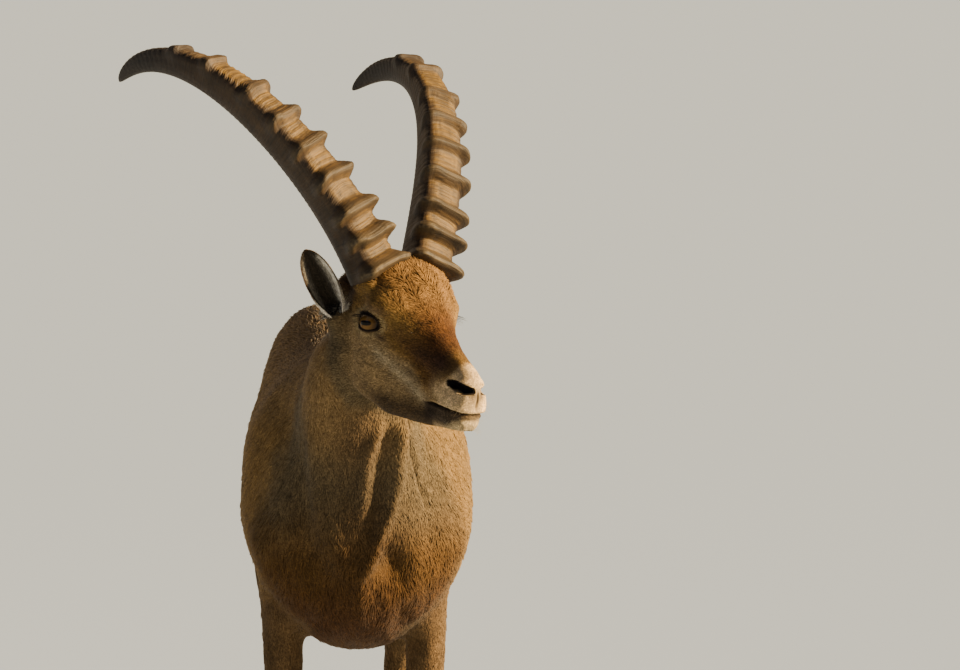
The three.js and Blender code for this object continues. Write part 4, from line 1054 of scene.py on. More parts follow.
    @staticmethod
    def _crease(local: Array, out: Array, side: Array) -> None:
        """Adds the bridge of the nose, the cheek's crest and grooves, the brow and the jowl."""
        f, _, u = local.T
        local += out * (1.1 * hill((side, 11, 9), (f, 44, 34)) * step(u, 0, 10))[:, None]
        crest = 1.3 * hill((u + 0.48 * f, -19, 5)) * step(f, 4, 24) * step(f, 92, 66) * step(side, 20, 30)
        under = 1.8 * hill((u + 0.48 * f, -34, 8)) * step(f, 20, 44) * step(f, 118, 90)
        groove = 1.5 * hill((u + 0.42 * f, 2, 6)) * step(f, 24, 40) * step(f, 110, 80) * step(side, 18, 26)
        ridge = 0.5 * hill((np.hypot(f + 8, u - 2), 33, 6)) * step(u, 6, 20) * step(side, 34, 48)
        jowl = 1.0 * hill((f, 30, 6)) * step(u, -30, -50) * step(u, -96, -84)
        local += out * (crest - under - groove + ridge - jowl)[:, None]

    def finer(self, surface: Surface) -> Surface:
        """Splits the faces round eyes, nostrils and mouth so that folds and lids come out crisp."""
        for level in range(2):
            f, l, u = self.head.into(surface.points).T
            side = np.abs(l)
            eye = np.linalg.norm(np.stack([f, side, u], -1) - self.head.eye_axes(LEFT)[0], axis=1)
            keep = (eye < (31, 25)[level]) & (side > 40)
            nose = np.hypot(f - self.head.nostril[0], u - self.head.nostril[2])
            keep |= (nose < (23, 19)[level]) & (f > 116)
            line = np.abs(self.head.above_mouth(f, u))
            keep |= (line < (7, 3.5)[level]) & (f > (89, 94)[level])
            surface = self._split(surface, keep)
        return surface

    @staticmethod
    def _split(surface: Surface, keep: Array) -> Surface:
        """Halves every edge whose two ends are kept, and triangulates what that leaves."""
        mesh = bpy.data.meshes.new("split")
        fill_mesh(mesh, surface.points, surface.triangles)
        grid = bmesh.new()
        grid.from_mesh(mesh)
        edges = [e for e in grid.edges if keep[e.verts[0].index] and keep[e.verts[1].index]]
        bmesh.ops.subdivide_edges(grid, edges=edges, cuts=1, use_grid_fill=True)
        bmesh.ops.triangulate(grid, faces=grid.faces)
        grid.to_mesh(mesh)
        grid.free()
        found = read_mesh(mesh)
        bpy.data.meshes.remove(mesh)
        return found

    def build(self) -> Surface:
        """The whole skin, without the ears' sheets."""
        surface = self.whole()
        f, _, u = self.head.into(surface.points).T
        z, y = surface.points[:, 2], surface.points[:, 1]
        seam = hill((self.head.ahead_of_neck(f, u), -8, 26))
        joint = np.maximum(hill((z, 520, 60)) * (y < 150),
                           hill((y - 0.2 * (z - 640), 560, 60)) * (z > 440))
        rump = step(y, 600, 640) * step(z, 480, 560)
        part = np.clip(seam + 0.9 * joint + 0.8 * rump, 0, 1) * 0.9
        surface = self.smooth(self.smooth(surface, 10), 14, part * (z > 430))
        normal = surface.normals()
        height = self.muscles(surface.points, normal) - self.depth(surface.points)
        surface.points += normal * height[:, None]
        surface = self.folds(self.smooth(self.finer(surface), 3))
        ratio = min(1.0, self.most / len(surface.triangles))
        return self._modified(surface, "DECIMATE", ratio=ratio)


def fill_mesh(mesh: Mesh, points: Array, triangles: Array) -> None:
    """Puts points and triangles into an empty mesh."""
    mesh.vertices.add(len(points))
    mesh.vertices.foreach_set("co", np.ascontiguousarray(points, np.float32).ravel())
    mesh.loops.add(len(triangles) * 3)
    mesh.loops.foreach_set("vertex_index", np.ascontiguousarray(triangles, np.int32).ravel())
    mesh.polygons.add(len(triangles))
    mesh.polygons.foreach_set("loop_start", np.arange(len(triangles), dtype=np.int32) * 3)
    mesh.update(calc_edges=True)
    mesh.validate()


def read_mesh(mesh: Mesh) -> Surface:
    """Points and triangles of a mesh, in the mesh's own unit."""
    mesh.calc_loop_triangles()
    points = np.empty(len(mesh.vertices) * 3)
    mesh.vertices.foreach_get("co", points)
    triangles = np.empty(len(mesh.loop_triangles) * 3, np.int64)
    mesh.loop_triangles.foreach_get("vertices", triangles)
    return Surface(points.reshape(-1, 3), triangles.reshape(-1, 3))


@dataclass
class Workshop:
    """Makes finished pieces: puts a surface in the frame, colours it and reports it. The build
    methods of the classes below take the workshop, the material and what their pieces cover."""

    placement: Placement
    made: list[str] = field(default_factory=list)

    def piece(self, name: str, surface: Surface, material: Material,
              nodes: tuple[str, ...] = (), tint: Array | None = None, unwrap: Array | None = None,
              smooth: bool = True, mask: Array | None = None,
              shaded: Array | None = None) -> Object:
        """Makes one object of the model.

        Args:
            name: the object's name.
            surface: its shape, in mm.
            material: its finish.
            nodes: the solids that it stands for.
            tint: linear colour of each point, if any.
            unwrap: the OFBake place of each triangle's corners, if any.
            smooth: whether its faces are shaded smoothly.
            mask: a second attribute of each point, 0 to 1, if any.
            shaded: normals to shade the points with, if any.

        Returns:
            The object.
        """
        mesh = bpy.data.meshes.new(name)
        fill_mesh(mesh, self.placement.place(surface.points), surface.triangles)
        mesh.polygons.foreach_set("use_smooth", np.full(len(mesh.polygons), smooth))
        if tint is not None:
            layer = mesh.color_attributes.new("tint", "FLOAT_COLOR", "POINT")
            colours = np.column_stack([tint, np.ones(len(tint))])
            layer.data.foreach_set("color", colours.astype(np.float32).ravel())
        if mask is not None:
            layer = mesh.attributes.new("mask", "FLOAT", "POINT")
            layer.data.foreach_set("value", mask.astype(np.float32))
        if unwrap is not None:
            layer = mesh.uv_layers.new(name="OFBake")
            layer.data.foreach_set("uv", unwrap.astype(np.float32).ravel())
        if shaded is not None:
            mesh.normals_split_custom_set_from_vertices(shaded)
        mesh.materials.append(material)
        made = bpy.data.objects.new(name, mesh)
        bpy.context.scene.collection.objects.link(made)
        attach(made, "root")
        if nodes:
            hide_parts(*nodes)
        self.made.append(name)
        LOG.info("%s: %d triangles", name, len(surface.triangles))
        return made


def add_node(tree: NodeTree, kind: str, inputs: dict | None = None, **settings) -> Node:
    """Adds a node with its settings, values and links.

    Args:
        tree: the material's tree.
        kind: the node's type.
        inputs: value or linked socket for each input name or number.
        settings: the node's own settings.

    Returns:
        The node.
    """
    made = tree.nodes.new(kind)
    for key, value in settings.items():
        setattr(made, key, value)
    for key, value in (inputs or {}).items():
        if isinstance(value, NodeSocket):
            tree.links.new(value, made.inputs[key])
        else:
            made.inputs[key].default_value = value
    return made


def new_material(name: str, **values: float) -> tuple[Material, NodeTree, Node]:
    """A material with the constants of its shader set.

    Args:
        name: the material's name.
        **values: the shader's inputs, with an underscore for each space.

    Returns:
        The material, its tree and its shader.
    """
    made = bpy.data.materials.new(name)
    made.use_nodes = True
    shader = made.node_tree.nodes["Principled BSDF"]
    for key, value in values.items():
        shader.inputs[key.replace("_", " ")].default_value = value
    return made, made.node_tree, shader


def streak(tree: NodeTree, shader: Node, value: NodeSocket, spread: tuple[float, float],
           tones: tuple[float, float]) -> None:
    """Colours a shader: the attribute tint times a tone that follows a value.

    Args:
        tree: the material's tree.
        shader: its shader.
        value: what the tone follows.
        spread: lowest and highest value that count.
        tones: tone at the lowest and at the highest.
    """
    tint = add_node(tree, "ShaderNodeAttribute", attribute_name="tint").outputs["Color"]
    tone = add_node(tree, "ShaderNodeMapRange", {"Value": value, "From Min": spread[0],
                    "From Max": spread[1], "To Min": tones[0], "To Max": tones[1]}).outputs[0]
    mixed = add_node(tree, "ShaderNodeVectorMath", {0: tint, "Scale": tone}, operation="SCALE")
    tree.links.new(mixed.outputs[0], shader.inputs["Base Color"])


def roughen(tree: NodeTree, shader: Node, height: NodeSocket, strength: float,
            distance: float) -> None:
    """Bumps a shader by a height, at a strength of 0 to 1 and a depth in metres."""
    bump = add_node(tree, "ShaderNodeBump",
                    {"Height": height, "Strength": strength, "Distance": distance})
    tree.links.new(bump.outputs[0], shader.inputs["Normal"])


def stretched(tree: NodeTree, place: NodeSocket, stretch: tuple[float, ...],
              scale: float, detail: float, **more: float) -> NodeSocket:
    """Noise on places that are stretched along the axes.

    Args:
        tree: the material's tree.
        place: the places.
        stretch: factor along each axis.
        scale: the noise's scale.
        detail: the noise's detail.
        **more: Turn, about Z after a small turn about Y, and the noise's Roughness.

    Returns:
        The noise.
    """
    mapped = {"Vector": place, "Scale": stretch}
    if "Turn" in more:
        mapped["Rotation"] = (0.0, 0.25, more.pop("Turn"))
    at = add_node(tree, "ShaderNodeMapping", mapped).outputs[0]
    return add_node(tree, "ShaderNodeTexNoise", {"Vector": at, "Scale": scale, "Detail": detail,
                                                 **more}).outputs["Fac"]


def rgba(code: str) -> tuple[float, float, float, float]:
    """An sRGB hex colour as a linear colour with full cover."""
    return (*linear(code), 1.0)


@dataclass(frozen=True)
class HairFinish:
    """Goat hair: matt and fibrous, each tuft a little lighter or darker than the next."""

    roughness: float = 0.85
    bump_mm: float = 0.5

    def tufts(self) -> Material:
        """Hair of the tufts: the attribute's colour with fine streaks from strand to strand."""
        made, tree, shader = new_material("goat_hair", Roughness=self.roughness,
                                          Specular_IOR_Level=0.14, Sheen_Weight=0.05,
                                          Sheen_Roughness=0.5)
        place = add_node(tree, "ShaderNodeTexCoord").outputs["Object"]
        strand = add_node(tree, "ShaderNodeTexNoise", {"Vector": place, "Scale": 420.0, "Detail": 2.0})
        streak(tree, shader, strand.outputs["Fac"], (0.3, 0.7), (0.62, 1.38))
        return made

    def skin(self) -> Material:
        """Undercoat and bare skin: the same colours, darker, with a bump of short hair that is
        drawn out along the body on trunk and legs and is fine on the face."""
        made, tree, shader = new_material("short_coat_on_skin", Roughness=0.9, Specular_IOR_Level=0.12)
        place = add_node(tree, "ShaderNodeTexCoord").outputs["Object"]
        face = add_node(tree, "ShaderNodeAttribute", attribute_name="mask").outputs["Fac"]
        hair = stretched(tree, place, (1.0, 0.22, 0.4), 520.0, 3.0)
        nap = stretched(tree, place, (1.0, 0.3, 1.0), 900.0, 3.0, Turn=-0.62)
        both = add_node(tree, "ShaderNodeMix", {0: face, 2: hair, 3: nap}).outputs[0]
        streak(tree, shader, both, (0.3, 0.7), (0.72, 1.12))
        roughen(tree, shader, both, 0.6, self.bump_mm / 1000)
        return made


@dataclass(frozen=True)
class HornFinish:
    """Horn keratin, grown in yearly rings: dull brown, straw where the front is worn, dark tips, with
    painted shade at the foot of the knobs and a painted highlight on their crowns.
    """

    brown: str = "3e2c15"
    straw: str = "6d511f"
    grey: str = "403119"
    # painted highlight on the crowns of the knobs
    crown: str = "857453"
    # painted shade at the foot of the knobs
    crevice: str = "33261a"
    back: str = "3a2c20"
    tip: str = "2b231c"

    def material(self) -> Material:
        """Brown horn with growth lines from the map that runs round and along it."""
        made, tree, shader = new_material("horn_keratin", Roughness=0.66, Specular_IOR_Level=0.4)
        growth = add_node(tree, "ShaderNodeUVMap", uv_map="growth").outputs[0]
        ring = stretched(tree, growth, (26.0, 420.0, 1.0), 1.0, 5.0, Roughness=0.62)
        grain = stretched(tree, growth, (150.0, 26.0, 1.0), 1.0, 4.0)
        both = add_node(tree, "ShaderNodeMix", {0: 0.4, 2: ring, 3: grain}).outputs[0]
        streak(tree, shader, both, (0.34, 0.66), (0.55, 1.3))
        roughen(tree, shader, both, 0.9, 0.0018)
        return made


@dataclass(frozen=True)
class HoofFinish:
    """Hoof keratin: dark, slightly waxy, with level growth rings and dusty wear."""

    dark: str = "1e1814"
    worn: str = "41362a"

    def material(self) -> Material:
        """Dark horn with level rings between dark and worn."""
        made, tree, shader = new_material("hoof_keratin", Roughness=0.5)
        place = add_node(tree, "ShaderNodeTexCoord").outputs["Object"]
        ring = stretched(tree, place, (1.0, 1.0, 9.0), 70.0, 4.0)
        ramp = add_node(tree, "ShaderNodeValToRGB", {"Fac": ring})
        for stop, code, at in zip(ramp.color_ramp.elements, (self.dark, self.worn), (0.35, 0.75)):
            stop.color, stop.position = rgba(code), at
        tree.links.new(ramp.outputs[0], shader.inputs["Base Color"])
        roughen(tree, shader, ring, 0.5, 0.0008)
        return made


@dataclass(frozen=True)
class EyeFinish:
    """Wet, glossy surface of the eyeball."""

    def material(self) -> Material:
        """Glossy, in the attribute's colours."""
        made, tree, shader = new_material("wet_eye", Roughness=0.12, IOR=1.376,
                                          Specular_IOR_Level=0.1, Coat_Weight=0.15,
                                          Coat_Roughness=0.03)
        tint = add_node(tree, "ShaderNodeAttribute", attribute_name="tint").outputs["Color"]
        tree.links.new(tint, shader.inputs["Base Color"])
        return made


@dataclass(frozen=True)
class Eyes:
    """Eyeballs: iris, level slot pupil and dark rim are colours on a ball that swells over them, with the
    upper lid's shadow painted on the top of the iris.
    """

    head: Head
    inner: str = "704f22"
    outer: str = "3f2a12"
    slot: str = "0a0604"
    rim: str = "0c0806"
    white: str = "4a342a"
    iris: float = 13.6
    pupil: tuple[float, float] = (7.6, 3.2)
    level: float = 14

    def build(self, shop: Workshop, side: int, material: Material) -> None:
        """One eyeball: a ball whose front swells by 1.2 mm over the iris."""
        middle, axes = self.head.eye_axes(side)
        a = (np.linspace(0.004, 1, 130) ** 1.25 * np.pi * 0.995)[:, None]
        b = np.linspace(0, 2 * np.pi, 128, endpoint=False)[None]
        radius = self.head.eye_radius - 0.25
        swell = 1.15 * step(radius * np.sin(a), self.iris + 1.5, 3) * (a < np.pi / 2)
        local = np.stack([np.sin(a) * np.cos(b), np.sin(a) * np.sin(b), np.cos(a) + 0 * b], -1)
        local = local * (radius + swell)[..., None]
        tilt = math.radians(self.level)
        x = local[..., 0] * math.cos(tilt) + local[..., 1] * math.sin(tilt)
        y = local[..., 1] * math.cos(tilt) - local[..., 0] * math.sin(tilt)
        front = local[..., 2] > 0
        reach = np.hypot(x, y)
        turn = np.arctan2(y, x)
        fibres = np.sin(37 * turn + 2 * np.sin(5 * turn)) * 0.5 + np.sin(83 * turn + reach) * 0.3
        paint = Paint(linear(self.inner)[None, None] * (1 + 0.25 * fibres[..., None]))
        paint.lay(self.outer, step(reach, 5.5, self.iris - 0.6))
        slot = (np.abs(x) / self.pupil[0]) ** 3 + (np.abs(y) / self.pupil[1]) ** 3
        # painted shadow of the upper lid: the iris darker towards its top
        paint.tone *= (1 - 0.45 * step(y, 1, 9))[..., None]
        paint.lay(self.slot, step(slot, 1.5, 0.6))
        paint.lay(self.rim, step(reach, self.iris - 1.8, self.iris - 0.2))
        paint.lay(self.white, step(reach, self.iris + 1.4, self.iris + 3.2))
        tint = np.where(front[..., None], paint.tone, linear(self.white))
        surface = loft(self.head.out_of(middle + local @ axes))
        ends = np.array([tint[0, 0], tint[-1, 0]])
        name = HAND[side]
        shop.piece(f"eyeball_{name}", surface, material, (f"eye_{name}",),
                   np.concatenate([np.clip(tint, 0, 1).reshape(-1, 3), ends]))


@dataclass(frozen=True)
class HornDress:
    """Horns in full detail, in the colours of grown and worn horn, with painted shade and highlight on the
    knobs.
    """

    head: Head
    finish: HornFinish = HornFinish()

    def build(self, shop: Workshop, horn: Horn, material: Material) -> None:
        """One horn, with its map of growth: round the section and along the middle in metres."""
        rings, sides = ((560, 84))
        points, at, angle, knob = horn.grid(rings, sides)
        surface = loft(self.head.out_of(points))
        d = np.sin(angle)
        part = at / horn.length
        flat = points.reshape(-1, 3)
        mottle = Waves(30, 21).at(flat).reshape(at.shape)
        fine = Waves(7, 22).at(flat).reshape(at.shape)
        paint = Paint.plain(self.finish.brown, points.shape)
        worn = step(d + 0.08 * mottle, 0.8, 0.96) * (1 - step(knob, 0.05, 0.45))
        paint.lay(self.finish.straw, worn * (0.75 + 0.35 * fine) * step(part, 0.82, 0.6))
        paint.lay(self.finish.grey, 0.85 * step(knob, 0.25, 0.6))
        # painted highlight on the crowns of the knobs
        paint.lay(self.finish.crown, 0.2 * step(knob, 0.62, 0.9) * step(fine, -0.2, 0.5))
        # painted shade in the hollow at the foot of each knob
        paint.lay(self.finish.crevice, 0.6 * hill((knob, 0.12, 0.1)) * (d > 0.1))
        paint.lay(self.finish.back, 0.7 * step(d, 0.3, -0.4))
        paint.lay(self.finish.tip, 0.92 * step(part + 0.03 * mottle, 0.6, 0.86))
        tint = paint.tone * (1 + 0.16 * mottle + 0.1 * fine)[..., None]
        ends = np.array([tint[0].mean(0), tint[-1].mean(0)])
        name = HAND[horn.side]
        made = shop.piece(f"horn_sheath_{name}", surface, material, (f"horn_{name}",),
                          np.clip(np.concatenate([tint.reshape(-1, 3), ends]), 0.003, 1))
        across = np.append(np.abs(np.arange(rings * sides) % sides / sides * 2 - 1) * 0.11, [0, 0])
        along = np.append((at.ravel() + 7 * np.abs(np.cos(angle.ravel()))) / 1000, [0, 0.5])
        along[-2:] = along[[0, rings * sides - 1]]
        layer = made.data.uv_layers.new(name="growth")
        uv = np.column_stack([across, along])[surface.triangles.ravel()]
        layer.data.foreach_set("uv", uv.astype(np.float32).ravel())


class Region(Enum):
    """Parts of the coat that are made as pieces of their own."""

    HEAD = "head"
    NECK = "neck"
    TRUNK = "trunk"
    LEGS = "legs"
    EARS = "ears"


@dataclass(frozen=True)
class Tufts:
    """Roots, ways and sizes of many tufts in mm, ready to be drawn as tapered locks."""

    root: Array
    normal: Array
    way: Array
    length: Array
    width: Array
    lift: Array
    tint: Array
    place: Array

    def surface(self, draw: Draw) -> tuple[Surface, Array, Array, Array]:
        """Each tuft is a closed leaf-shaped lock with a root, two sides, a ridge and a tip. It
        leaves the skin at its lift, bends back to it and curls a little sideways.

        Args:
            draw: seeded random numbers.

        Returns:
            The surface, its colours, its OFBake map by triangle corner, and normals to shade it
            with, which follow the skin and lean a little to each side of the tuft.
        """
        n = len(self.root)
        side = np.cross(self.normal, self.way)
        curl = draw.normal(0, 0.12, (n, 1))
        length, width, lift = self.length[:, None], self.width[:, None], self.lift[:, None]
        low = self.root - self.normal * 0.7
        mid = (self.root + self.way * 0.42 * length * np.cos(lift)
               + self.normal * 0.42 * length * np.sin(lift) + side * curl * 0.2 * length)
        tip = (self.root + self.way * length * np.cos(lift * 0.7)
               + self.normal * length * np.sin(lift * 0.7) + side * curl * length)
        points = np.stack([low, mid - side * width / 2, mid + side * width / 2,
                           mid + self.normal * 0.30 * width - self.way * 0.05 * length, tip], 1)
        cell = np.array([(0, 1, 3), (1, 4, 3), (4, 2, 3), (2, 0, 3), (0, 4, 1), (0, 2, 4)])
        triangles = (np.arange(n)[:, None, None] * 5 + cell[None]).reshape(-1, 3)
        # painted shade and light: each lock darker at its root and sides, lighter on its ridge and at its
        # tip
        shade = np.array([0.66, 0.9, 0.9, 1.0, 1.2])[None, :, None]
        tint = np.clip(self.tint[:, None] * shade, 0.002, 1).reshape(-1, 3)
        lean = np.array([(0, -0.2), (-0.62, 0), (0.62, 0), (0, 0), (0, 0.4)])
        shaded = unit(self.normal[:, None] + side[:, None] * lean[None, :, :1]
                      + self.way[:, None] * lean[None, :, 1:])
        patch = np.array([(0.5, 0), (0, 0.42), (1, 0.42), (0.5, 0.38), (0.5, 1)]) * 0.003
        unwrap = (self.place[:, None] + patch[None]).reshape(-1, 2)[triangles.ravel()]
        return Surface(points.reshape(-1, 3), triangles), tint, unwrap, shaded.reshape(-1, 3)


@dataclass(frozen=True)
class Coat:
    """The short summer coat: where it grows, how it lies, how long and how wide its tufts are."""

    head: Head
    markings: Markings
    total: int = 205000
    seed: int = 41
    most: int = 32500

    def _in_head(self, points: Array) -> tuple[Array, Array, Array, Array]:
        """How far ahead of the neck's plane points are, and their places in the head's axes."""
        f, l, u = self.head.into(points).T
        return self.head.ahead_of_neck(f, u), f, l, u

    def sizes(self, points: Array) -> tuple[Array, Array, Array]:
        """Length, width and cover of the tufts at points."""
        ahead, f, l, u = self._in_head(points)
        x, y, z = points.T
        elbow = step(z, 560, 470) * step(np.abs(y - 10), 100, 70) * step(np.abs(x), 48, 66)
        leg = np.maximum(step(z, 470, 400), elbow)
        length = 15 - 4 * step(y, 60, -60) + 4 * hill((z, 560, 70)) * step(y, 0, -80)
        length = length - 4 * leg - 3 * step(z, 260, 160)
        length = length + 14 * step(y, 746, 768)
        width = 2.5 - 0.85 * step(y, 60, -60) - 0.6 * leg
        cover = 1.35 + 0.55 * step(y, 60, -60)
        face = step(ahead, -10, 22)
        short = 6.8 - 3.6 * step(f, 60, 130) + 4.7 * step(u, 24, 52) * step(f, 40, 10)
        short = short - 2.2 * hill((f, -5, 30), (np.abs(l), 54, 20), (u, 0, 24))
        thin = 1.35 - 0.45 * step(f, 60, 130)
        length = length + (short - length) * face
        width = width + (thin - width) * face
        cover = cover + (2.0 - cover) * face
        return length, width, cover

    def bare(self, points: Array) -> Array:
        """Where no hair grows: inside lids, nostrils and lips, and on the wet nose."""
        _, f, l, u = self._in_head(points)
        side = np.abs(l)
        bare = self.head.round_eye(f, side, u, 34)[0] < 2.2
        along, over = self.head.across_nostril(f, u)
        bare |= (np.hypot(along / 19.5, over / 7.0) < 1.05) & (side > 5) & (f > 128)
        bare |= (np.abs(self.head.above_mouth(f, u)) < 1.6) & (f > 98)
        bare |= (side < 4) & (f > 151) & (u > -58) & (u < -34)
        return bare.astype(float)

    def way(self, points: Array, normal: Array, draw: Draw) -> Array:
        """The lie of the coat: back and down along the body, down the neck and legs, from the
        nose up the face, and in loose whorls on the forehead.

        Args:
            points: roots in mm.
            normal: the skin's normals there.
            draw: seeded random numbers.

        Returns:
            Unit ways along the skin.
        """
        ahead, f, l, u = self._in_head(points)
        x, _, z = points.T
        front = np.clip(-normal[:, 1], 0, 1)
        down = 0.45 + 1.6 * front + 2.4 * step(z, 520, 430)
        down = down * (1 - 0.75 * step(normal[:, 2], 0.3, 0.9) * (z > 600))
        back = 1 - 0.9 * step(z, 520, 430) - 0.65 * front
        flow = np.stack([0.12 * np.sign(x) * (z > 520), back, -down], -1)
        axes = self.head.axes()
        sweep = np.stack([-np.ones_like(f), 0.12 * np.sign(l), -0.25 * step(u, 30, -40)], -1)
        sweep[:, 1] += 0.5 * step(u, 20, 60) * np.sign(l) * hill((np.abs(l), 20, 20))
        whorl = 1.25 * step(u - 0.4 * np.abs(l) + 0.25 * f, 12, 34) * step(f, 96, 60)
        turn = whorl * Waves(42, 12).at(points)
        c, s = np.cos(turn), np.sin(turn)
        sweep = np.stack([sweep[:, 0] * c - sweep[:, 1] * s, sweep[:, 0] * s + sweep[:, 1] * c,
                          sweep[:, 2]], -1)
        flow = flow + (unit(sweep) @ axes - flow) * step(ahead, -14, 20)[:, None]
        flow = unit(flow - normal * (flow * normal).sum(-1, keepdims=True))
        side = np.cross(normal, flow)
        sway = (0.30 * Waves(38, 15).at(points) + 0.22 * Waves(14, 16).at(points)
                + draw.normal(0, 0.13, len(points)))
        return unit(flow + side * sway[:, None])

    def unwrap(self, points: Array, region: Region) -> Array:
        """Spreads roots over the unit square by a cylinder round their own part of the body."""
        if region is Region.HEAD:
            _, f, l, u = self._in_head(points)
            return np.column_stack([(f + 160) / 340, np.arctan2(l, u + 25) / (2 * np.pi) + 0.5]) * 0.99
        x, y, z = points.T
        if region is Region.LEGS:
            number = (x > 0) + 2.0 * (y > 300)
            around = np.arctan2(np.abs(x) - 86, y - np.where(y > 300, 690, 0)) / (2 * np.pi) + 0.5
            return np.column_stack([(number + 0.97 * around) / 4, np.clip(z / 800, 0, 1) * 0.99])
        if region is Region.NECK:
            return np.column_stack([np.clip((z - 430) / 500, 0, 0.99),
                                    np.arctan2(x, -y - 60) / (2 * np.pi) + 0.5])
        return np.column_stack([np.clip((y + 200) / 1020, 0, 0.99),
                                np.arctan2(x, z - 640) / (2 * np.pi) + 0.5])

    def region(self, points: Array) -> Array:
        """Number of each root's region, in the order of Region."""
        ahead = self._in_head(points)[0]
        _, y, z = points.T
        number = np.where(y < -30, 1, 2)
        number = np.where((z < 440) | ((z < 620) & (y > 560)), 3, number)
        return np.where(ahead > -6, 0, number)

    def roots(self, skin: Surface, draw: Draw) -> tuple[Array, Array]:
        """Spreads roots over the skin: the wanted number of tufts grows with area and cover and
        falls with their size, and roots are taken at even steps of its running total.

        Args:
            skin: the skin.
            draw: seeded random numbers.

        Returns:
            Roots and normals there.
        """
        a, b, c = skin.corners()
        middle = (a + b + c) / 3
        area = np.linalg.norm(np.cross(b - a, c - a), axis=1) / 2
        length, width, cover = self.sizes(middle)
        want = area * cover / (0.5 * length * width)
        facing = -unit(np.cross(b - a, c - a))[:, 1]
        seen = 1 + 0.35 * step(middle[:, 1], 120, -40) * step(facing, -0.3, 0.3)
        hidden = (middle[:, 2] < 60) & (np.abs(facing) < 0.05)
        want = want * seen * (1 - self.bare(middle)) * ~hidden
        cells = np.floor(middle / 9).astype(np.int64) - np.floor(middle.min(0) / 9).astype(np.int64)
        order = np.lexsort((cells[:, 0], cells[:, 1], cells[:, 2]))
        total = np.cumsum(want[order])
        count = int(self.total * (1))
        LOG.info("coat: %d tufts wanted, %d made", int(total[-1]), count)
        picks = (np.arange(count) + draw.uniform(0, 1, count)) * total[-1] / count
        face = order[np.minimum(np.searchsorted(total, picks), len(order) - 1)]
        return skin.scatter(face, draw)

    def build(self, shop: Workshop, skin: Surface, material: Material) -> None:
        """Makes the coat's pieces, none over the number of triangles that a piece may have."""
        draw = np.random.default_rng(self.seed)
        root, normal = self.roots(skin, draw)
        length, width, _ = self.sizes(root)
        scale = 1.0
        n = len(root)
        clump = Waves(16, 31).at(root)
        length = length * draw.uniform(0.75, 1.25, n) * (1 + 0.12 * clump)
        ahead, f, l, u = self._in_head(root)
        lift = np.radians(7 + 4 * clump + draw.normal(0, 2.2, n))
        lift += np.radians(12) * step(u - 0.4 * np.abs(l), 20, 50) * step(f, 60, 20) * step(ahead, 0, 10)
        spread = 0.15 + 0.08 * step(ahead, 0, 30)
        tint = self.markings.colour(root) * (1 + (spread * draw.normal(0, 1, n) + 0.07 * clump)[:, None])
        way = self.way(root, normal, draw)
        number = self.region(root)
        for index, region in enumerate(Region):
            mine = np.flatnonzero(number == index)
            parts = math.ceil(len(mine) / self.most)
            if not parts:
                continue
            for k, pick in enumerate(np.array_split(mine, parts)):
                tufts = Tufts(root[pick], normal[pick], way[pick], length[pick], width[pick] * scale,
                              np.clip(lift[pick], 0.03, 0.8), np.clip(tint[pick], 0.003, 1),
                              self.unwrap(root[pick], region))
                surface, colour, uv, shaded = tufts.surface(draw)
                shop.piece(f"coat_{region.value}_{k + 1}", surface, material, (), colour, uv,
                           shaded=shaded)


